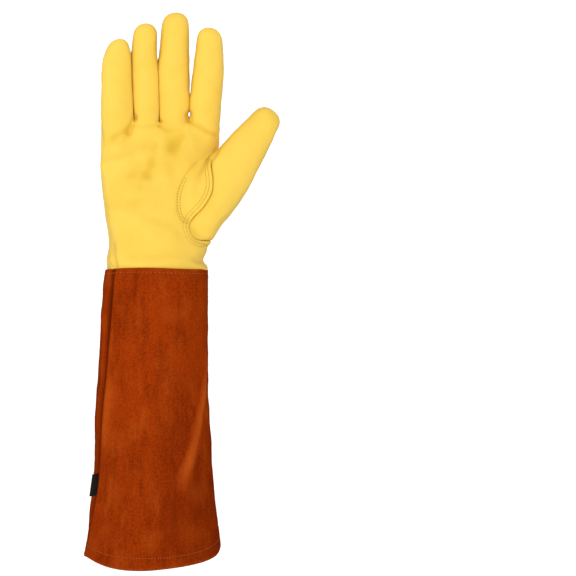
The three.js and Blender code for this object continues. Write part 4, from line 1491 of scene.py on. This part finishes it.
def seam_distance(fields, points, piece):
    """Distance from the nearest sewn seam of a cut piece, which sets the painted seam shade and
    fades on the thumb's web.
    """
    near = np.abs(fields["thumb"])
    if piece in ("palm", "thumb_gusset"):
        beside = np.where(fields["thumb"] < 1, np.abs(fields["gusset"]) + 0.3, FAR_FROM_SEAM)
        near = np.minimum(near, beside)
    if piece != "thumb":
        near = np.minimum(near, np.abs(fields["behind"]))
    if piece == "back" or piece.startswith("fourchette"):
        for gap in GAPS:
            near = np.minimum(near, np.abs(fields[gap]))
    # On the web between thumb and index finger the painted seam shade is pushed away
    web = thumb_web(points) * (points[:, 0] > 30)
    return np.minimum(near, FAR_FROM_SEAM) + 3 * web


# The form, skin and seam lines of the leather hand, kept for its stitches
HAND = {}


class GAUNTLET_OT_leather_hand(bpy.types.Operator):
    """Builds the seven cut pieces of the leather hand"""

    bl_idname = "gauntlet.leather_hand"
    bl_label = "Leather hand"

    def execute(self, context):
        form = Form(context.scene)
        pieces = cut_hand(form)
        HAND.update(form=form, skin=Skin(pieces.values()), seams=hand_seams(pieces))
        leather = leather_material("Golden grain leather", context.scene.gauntlet_colours)
        for name, mesh in pieces.items():
            fields = {field: attribute(mesh, field) for field in FIELDS}
            near = seam_distance(fields, points_of(mesh), name)
            for layer in FIELDS + ("home", "way"):
                mesh.attributes.remove(mesh.attributes[layer])
            # Seam distance and facing, which set the painted shade at the seams and on the flanks
            add_attribute(mesh, "seam", near)
            add_attribute(mesh, "flank", flank_shade_of(mesh))
            finish_piece(f"{name}_leather", mesh, leather, form.hand_wall, (name,))
        return {"FINISHED"}


def hand_seams(pieces):
    """The hand's seam lines, taken from the edges of its pieces before they are finished."""
    return {
        "thumb": seam_lines(pieces["thumb"], "thumb", lambda v: True),
        "gusset": seam_lines(pieces["thumb_gusset"], "gusset", lambda v: True),
        "lap": seam_lines(pieces["palm"], "lap", lambda v: v.co.y > 0),
        "tab": [
            line for gap in GAPS
            for line in seam_lines(pieces[f"fourchette_{gap}"], gap, lambda v: v.co.z < 400)
        ],
    }


WEB_FOOT, GUSSET_TOP = 333, 319  # heights at which the palm's stitch rows end
TAB_ROW = 1.3  # stitch row inside the edge of each tab, in millimetres


class GAUNTLET_OT_hand_stitches(bpy.types.Operator):
    """Sews the hand's seams and the elastic zigzag across the wrist"""

    bl_idname = "gauntlet.hand_stitches"
    bl_label = "Hand stitches"

    def execute(self, context):
        form, skin, seams = HAND["form"], HAND["skin"], HAND["seams"]
        rows, holes = bmesh.new(), bmesh.new()

        def inside(point, outline):
            return float(form.inside(outline, np.array([point.x]), np.array([point.z]))[0])

        def off_thumb(point):
            return -inside(point, "front" if point.y < 0 else "back")

        def in_gusset(point):
            return inside(point, "gusset")

        def off_lap(point):
            return point.x - float(read(form.lap, "across", point.z))

        def sew_rows(line, asides, belongs):
            line = even(line, form.hand_pitch)
            for aside in asides:
                sew(rows, holes, skin.lay(line, aside, belongs), form.thread)

        for line in seams["thumb"]:
            line = line[(line[:, 2] < WEB_FOOT) | (line[:, 1] > 2)]
            sew_rows(line, (form.row_near, form.row_far), off_thumb)
        for line in seams["gusset"]:
            sew_rows(line[line[:, 2] < GUSSET_TOP], GUSSET_ROWS, in_gusset)
        for line in seams["lap"]:
            sew_rows(line, form.lap_rows, off_lap)
        for line in seams["tab"]:
            middle = Vector(line.mean(axis=0))
            sew_rows(line, (TAB_ROW,), lambda point: -(point - middle).length)
        zigzag, pierced = bmesh.new(), bmesh.new()
        thick = form.thread * ELASTIC_THREAD
        sew(zigzag, pierced, skin.stretch(zigzag_line(form)), thick, ZIGZAG_SHARE)

        colours = context.scene.gauntlet_colours
        thread = thread_material("Hand thread", colours.hand_thread)
        # The needle holes are dark discs of painted shade
        dark = thread_material("Needle holes", colours.needle_hole, 400)
        finish_piece("hand_stitches", mesh_from(rows, "rows"), thread)
        finish_piece("hand_needle_holes", mesh_from(holes, "holes"), dark, smooth=False)
        finish_piece("wrist_zigzag", mesh_from(zigzag, "zigzag"), thread)
        finish_piece("wrist_needle_holes", mesh_from(pierced, "pierced"), dark, smooth=False)
        return {"FINISHED"}


# Turns, from the thumb's side, at which the elastic starts and how far short of a half turn it ends
ZIGZAG_START, ZIGZAG_SHORT = math.asin(0.3) + 0.15, 0.15


def zigzag_line(form):
    """Points of the elastic's zigzag over the back of the wrist, from the lap seam outwards."""
    level = form.cuff_length + form.shirring_level
    x, y, half_width, half_depth = form.palm_section(level)
    radius = (half_width + half_depth) / 2
    steps = int((math.pi - ZIGZAG_SHORT - ZIGZAG_START) * radius / form.shirring_pitch * 4)
    line = []
    for i in range(steps + 1):
        turn = ZIGZAG_START + i * form.shirring_pitch / 4 / radius
        c, s = rounded(turn, PALM_SQUARENESS)
        swing = (0, 1, 0, -1)[i % 4] * form.shirring_height / 2
        line.append((x + c * half_width, y + s * half_depth, level + swing))
    return np.array(line)


# The suede panels, in millimetres
PANEL_COLUMNS, PANEL_STEP = 150, 1.4
BACK_TUCK = 0.9  # how far the back panel runs under the palm panel at each seam
SUEDE_WAVES = ((0.8, 75, 11), (0.28, 21, 12), (0.1, 8, 13))  # height, reach and seed
SEAM_SINK, SEAM_SINK_TOP = 2.2, 1.1  # depth of the sunk seams, and near the top edge
HEM_PITCH = 0.8  # the hem's stitch pitch as a share of the top edge's
TOP_SWING, MOUTH_SWING = 25, 22  # how far the edges' swing runs into the panel
STITCH_PULL = 0.4  # depth of the line that the top stitching pulls in


def top_edge(turn, radial):
    """How far the cuff's top edge swings up and down, with its dip at the radial seam."""
    return 0.45 * np.sin(np.radians(turn) * 3 + 1) - 3.4 * bell(radial, 6)


def hemmed(form, along, inside, fold):
    """Height and inset along a panel's section: up inside the hem, round the fold, up outside."""
    arc = math.pi * fold
    phi = np.clip((along - inside) / fold, 0, math.pi)
    height = np.where(
        along < inside, form.hem_turn - along,
        np.where(along < inside + arc, fold - fold * np.sin(phi), along - inside - arc + fold),
    )
    return height, fold * (1 + np.cos(phi))


def cuff_panel(form, name):
    """One suede panel with its hem turned up inside, as a grid run round the fold."""
    fold = form.suede_wall + 0.1
    inside = form.hem_turn - fold
    total = inside + math.pi * fold + form.cuff_length - fold
    bm = bmesh.new()
    bmesh.ops.create_grid(
        bm, x_segments=PANEL_COLUMNS, y_segments=int(total / PANEL_STEP), size=0.5,
    )
    grid = np.array([v.co[:2] for v in bm.verts]) + 0.5
    u = grid[:, 0]
    height, inset = hemmed(form, grid[:, 1] * total, inside, fold)
    _, _, half_width, half_depth = form.cuff_section(height)
    radius = (half_width + half_depth) / 2
    start, end = form.seam_turn("ulnar", height), 360 + form.seam_turn("radial", height)
    if name == "back":
        tuck = np.degrees(BACK_TUCK / radius)
        start, end = form.seam_turn("radial", height) - tuck, form.seam_turn("ulnar", height) + tuck
    turn = mix(start, end, u)
    reach = np.radians(end - start) * radius
    from_start, from_end = u * reach, (1 - u) * reach
    seam = np.minimum(from_start, from_end)
    ulnar, radial = (from_start, from_end) if name == "palm" else (from_end, from_start)

    outer = form.cuff_point(height, turn % 360, 0)
    rise = sum(size * waves(outer, across, seed) for size, across, seed in SUEDE_WAVES)
    rise *= smoothstep(seam, 0, 14)
    near_top = smoothstep(height, form.hand_base - 12, form.hand_base)
    rise -= mix(SEAM_SINK, SEAM_SINK_TOP, near_top) * bell(seam, 2.2)
    shoulder = 1.3 if name == "palm" else -0.5
    rise += shoulder * bell(ulnar - 7, 5) + 0.5 * bell(radial - 6, 5)
    rise -= 0.45 * bell(height - form.hem_turn, 1.3)
    rise -= STITCH_PULL * bell(form.cuff_length - height - form.top_stitch, 1.3)
    rise -= 0.9 * smoothstep(height, form.cuff_length - 2.2, form.cuff_length)
    points = form.cuff_point(height, turn % 360, inset - rise)
    top = smoothstep(height, form.cuff_length - TOP_SWING, form.cuff_length)
    bottom = 1 - smoothstep(height, 0, MOUTH_SWING)
    points[:, 2] += top * top_edge(turn, radial)
    points[:, 2] += bottom * (2.2 * bell(radial, 4) + 0.5 * np.sin(np.radians(turn) * 4))
    for vert, point in zip(bm.verts, points):
        vert.co = point
    face_outwards(bm)
    mesh = mesh_from(bm, f"cuff_{name}")

    # Painted highlight on the ridges of the cuff's folds; the top edge and the hem are lighter as
    # well
    ridge = form.cuff_relief(height / form.cuff_length, turn % 360) / 2
    ridge += 0.22 * waves(outer, 30, 14)
    edge = 0.7 * smoothstep(height, form.cuff_length - 1.2, form.cuff_length)
    edge += 0.35 * (1 - smoothstep(height, 0.8, 3.0))
    add_attribute(mesh, "ridge", np.clip(ridge, 0, 1) * smoothstep(seam, 0, 5) + edge)
    # Painted shade: on the back panel the seam's shade reaches further from the ulnar seam
    if name == "back":
        seam = seam * mix(0.12, 1.0, smoothstep(ulnar, 5, 16)) + 0.9 * bell(ulnar - 8, 6)
    add_attribute(mesh, "seam", seam)
    add_attribute(mesh, "flank", flank_shade_of(mesh))
    return mesh


def face_outwards(bm):
    """Turns a panel's faces to the outside, judged by its topmost face."""
    bm.normal_update()
    probe = max(bm.faces, key=lambda face: face.calc_center_median().z)
    centre = probe.calc_center_median()
    if probe.normal.dot(Vector((centre.x, centre.y, 0))) < 0:
        bmesh.ops.reverse_faces(bm, faces=bm.faces)


FIBRES = 3600
FIBRE_FOOT, FIBRE_END = 0.09, 0.02  # half thicknesses of a loose fibre, in millimetres
FIBRE_LENGTHS = (0.7, 1.7)
FIBRE_DROOP = (0, 0, 0.3)


def loose_fibres(panels):
    """Short loose fibres standing off the brushed face of the suede panels."""
    chance = np.random.default_rng(12)
    tufts = bmesh.new()
    places = np.concatenate([points_of(mesh) for mesh in panels])
    ways = np.concatenate([normals_of(mesh) for mesh in panels])
    chosen = chance.choice(len(places), FIBRES, replace=False)
    for first in range(0, FIBRES, BATCH):
        some = bmesh.new()
        for i in chosen[first:first + BATCH]:
            lean = ways[i] * 0.7 + chance.normal(0, 0.6, 3) - FIBRE_DROOP
            length = chance.uniform(*FIBRE_LENGTHS)
            way = Vector(lean).normalized()
            foot = Vector(places[i] + chance.normal(0, 0.4, 3) * (1 - np.abs(ways[i])))
            turn = way.to_track_quat("Z", "Y").to_matrix().to_4x4()
            bmesh.ops.create_cone(
                some, segments=3, radius1=FIBRE_FOOT, radius2=FIBRE_END, depth=length,
                matrix=Matrix.Translation(foot + way * length * 0.35) @ turn,
            )
        join(tufts, some)
    return mesh_from(tufts, "loose_fibres")


class GAUNTLET_OT_suede_cuff(bpy.types.Operator):
    """Builds the cuff's two suede panels and sews their top edge and hem"""

    bl_idname = "gauntlet.suede_cuff"
    bl_label = "Suede cuff"

    def execute(self, context):
        form, colours = Form(context.scene), context.scene.gauntlet_colours
        panels = {name: cuff_panel(form, name) for name in ("palm", "back")}
        skin = Skin(panels.values())
        rows, holes = bmesh.new(), bmesh.new()
        top = form.cuff_length - form.top_stitch
        for height, step in ((top, form.cuff_pitch), (form.hem_turn, form.cuff_pitch * HEM_PITCH)):
            _, _, half_width, half_depth = form.cuff_section(height)
            count = int(math.pi * (half_width + half_depth) / step)
            turns = np.linspace(0, 360, count + 1)
            line = form.cuff_point(np.full(count + 1, height), turns % 360, 0.0)
            if height == top:
                radial = np.radians(turns - form.seam_turn("radial", height)) * half_width
                line[:, 2] += top_edge(turns, radial)
            sew(rows, holes, skin.stretch(line), form.thread, CUFF_STITCH_SHARE)

        nap = thread_material("Loose nap", colours.suede)
        fibres = loose_fibres(panels.values())
        finish_piece("cuff_loose_fibres", fibres, nap, smooth=False)
        suede = suede_material("Brushed suede", colours)
        for name, mesh in panels.items():
            node = f"cuff_{name}_panel"
            finish_piece(f"{node}_suede", mesh, suede, form.suede_wall, (node,))
        thread = thread_material("Cuff thread", colours.cuff_thread)
        # The needle holes are dark discs of painted shade
        dark = thread_material("Suede needle holes", colours.suede_dark, 400)
        stitches, pierced = mesh_from(rows, "rows"), mesh_from(holes, "holes")
        finish_piece("cuff_stitches", stitches, thread)
        finish_piece("cuff_needle_holes", pierced, dark, smooth=False)
        return {"FINISHED"}


# The folded label, in millimetres: height above the mouth, how far it stands out, its length
# along the seam and half the gap in its fold
LABEL_LEVEL, LABEL_REACH, LABEL_LENGTH, LABEL_GAP = 62.0, 6.0, 18.0, 0.36


class GAUNTLET_OT_label(bpy.types.Operator):
    """Folds the bare woven label that is caught in the cuff's outer seam"""

    bl_idname = "gauntlet.label"
    bl_label = "Folded label"

    def execute(self, context):
        mesh = folded_tape(Form(context.scene))
        tape = tape_material("Woven label tape", context.scene.gauntlet_colours.label)
        finish_piece("label_tape", mesh, tape, 0.3, ("tag",))
        return {"FINISHED"}


def folded_tape(form):
    """The label's tape: out from the seam, round its fold and back, with a slight bend."""
    turn = form.seam_turn("ulnar", LABEL_LEVEL)
    foot = form.cuff_point(np.array([LABEL_LEVEL]), np.array([turn % 360]), 0.6)[0]
    _, _, half_width, half_depth = form.cuff_section(LABEL_LEVEL)
    angle = math.radians(turn)
    out = Vector((math.cos(angle) / half_width, math.sin(angle) / half_depth, 0)).normalized()
    side = Vector((-out.y, out.x, 0))
    straight = LABEL_REACH - LABEL_GAP
    total = 2 * straight + math.pi * LABEL_GAP
    bm = bmesh.new()
    bmesh.ops.create_grid(bm, x_segments=36, y_segments=30, size=0.5)
    for vert in bm.verts:
        s, t = (vert.co.x + 0.5) * total, vert.co.y
        phi = min(max((s - straight) / LABEL_GAP, 0), math.pi)
        run = straight + LABEL_GAP * math.sin(phi) if phi else s
        if phi >= math.pi:
            run = total - s
        share = run / LABEL_REACH
        bend = 0.35 * math.sin(share * 2.2) + 0.2 * math.sin(t * 5)
        place = Vector(foot) + out * run + side * (LABEL_GAP * math.cos(phi) + bend)
        place -= out * (0.13 * LABEL_LENGTH * t * share)
        place.z += t * LABEL_LENGTH - 0.4 * share * share
        vert.co = place
    bmesh.ops.recalc_face_normals(bm, faces=bm.faces)
    return mesh_from(bm, "label")


# The studio, in metres and watts: a paper sweep that bends up behind the glove, and three soft
# lights, each with its place, its side and its power
PAPER_WIDTH, PAPER_LENGTH, FLOOR_LENGTH = 12.0, 9.5, 5.0
FLOOR_START, FLOOR_LEVEL = -3.0, -0.25
LIGHTS = (
    ("key", (-0.7, -1.5, -0.05), 0.6, 11.0),
    ("fill", (0.9, -1.6, 0.1), 1.0, 1.5),
    ("top", (0.0, -0.3, 1.9), 1.0, 0.8),
)
LIT_PLACE = (0.02, 0, 0.24)
SKY_STRENGTH = 0.8
CAMERA_PLACE, CAMERA_LENS = (0.0, -0.9, 0.2249), 64.86
# In the photograph's pixels: the palm view's distance beside the middle, and from the lens
PALM_VIEW_ASIDE, PALM_VIEW_AWAY = 135, 1046.5


class GAUNTLET_OT_studio(bpy.types.Operator):
    """Sets up the pale backdrop, the soft lights and the camera"""

    bl_idname = "gauntlet.studio"
    bl_label = "Studio"

    def execute(self, context):
        scene, link = context.scene, context.collection.objects.link
        paper = bpy.data.objects.new("backdrop", paper_sweep())
        tone = scene.gauntlet_colours.backdrop
        paper.data.materials.append(paper_material("Backdrop paper", tone))
        link(paper)

        scene.view_settings.view_transform = "Standard"
        scene.world = bpy.data.worlds.new("Studio")
        scene.world.use_nodes = True
        sky = scene.world.node_tree
        fill(sky, sky.nodes["Background"], {"Color": (1, 1, 1), "Strength": SKY_STRENGTH})
        for name, place, size, power in LIGHTS:
            light = bpy.data.lights.new(name, "AREA")
            light.size = size
            light.energy = power
            lamp = bpy.data.objects.new(name, light)
            lamp.location = place
            way = Vector(LIT_PLACE) - Vector(place)
            lamp.rotation_euler = way.to_track_quat("-Z", "Y").to_euler()
            link(lamp)

        camera = bpy.data.cameras.new("camera")
        camera.sensor_width = 36
        camera.lens = CAMERA_LENS
        camera.clip_start = 0.01
        seat = bpy.data.objects.new("camera", camera)
        seat.location = CAMERA_PLACE
        seat.rotation_euler = (math.pi / 2, 0, -math.asin(PALM_VIEW_ASIDE / PALM_VIEW_AWAY))
        link(seat)
        scene.camera = seat
        return {"FINISHED"}


def paper_sweep():
    """The paper: a floor, a bend of one metre's radius, and a wall."""
    bm = bmesh.new()
    bmesh.ops.create_grid(bm, x_segments=8, y_segments=48, size=0.5)
    for vert in bm.verts:
        s = (vert.co.y + 0.5) * PAPER_LENGTH
        bend = min(max(s - FLOOR_LENGTH, 0), math.pi / 2)
        y = FLOOR_START + min(s, FLOOR_LENGTH) + math.sin(bend)
        z = FLOOR_LEVEL + (1 - math.cos(bend)) + max(s - FLOOR_LENGTH - math.pi / 2, 0)
        vert.co = (vert.co.x * PAPER_WIDTH, y, z)
    return mesh_from(bm, "backdrop")


class GAUNTLET_PT_panel(bpy.types.Panel):
    """Lists the gauntlet's pieces, sizes and colours"""

    bl_idname = "GAUNTLET_PT_panel"
    bl_label = "Rose pruning gauntlet"
    bl_space_type = "VIEW_3D"
    bl_region_type = "UI"
    bl_category = "Gauntlet"

    def draw(self, context):
        layout = self.layout
        for step in STEPS:
            layout.operator(step.bl_idname)
        for group in ("gauntlet_sizes", "gauntlet_sewing", "gauntlet_colours"):
            box = layout.box()
            settings = getattr(context.scene, group)
            for key in settings.__annotations__:
                box.prop(settings, key)


STEPS = (
    GAUNTLET_OT_leather_hand,
    GAUNTLET_OT_hand_stitches,
    GAUNTLET_OT_suede_cuff,
    GAUNTLET_OT_label,
    GAUNTLET_OT_studio,
)
GROUPS = {
    "gauntlet_sizes": GauntletSizes,
    "gauntlet_sewing": GauntletSewing,
    "gauntlet_colours": GauntletColours,
}


def register():
    for cls in (*GROUPS.values(), *STEPS, GAUNTLET_PT_panel):
        bpy.utils.register_class(cls)
    for name, group in GROUPS.items():
        setattr(bpy.types.Scene, name, bpy.props.PointerProperty(type=group))


def unregister():
    for name in GROUPS:
        delattr(bpy.types.Scene, name)
    for cls in reversed((*GROUPS.values(), *STEPS, GAUNTLET_PT_panel)):
        bpy.utils.unregister_class(cls)


def plain(box):
    """The two corners of a box as lists of numbers."""
    return [[float(value) for value in corner] for corner in box]


def main():
    register()
    bpy.ops.gauntlet.leather_hand()
    bpy.ops.gauntlet.hand_stitches()
    bpy.ops.gauntlet.suede_cuff()
    bpy.ops.gauntlet.label()
    bpy.ops.gauntlet.studio()


if __name__ == "__main__":
    main()
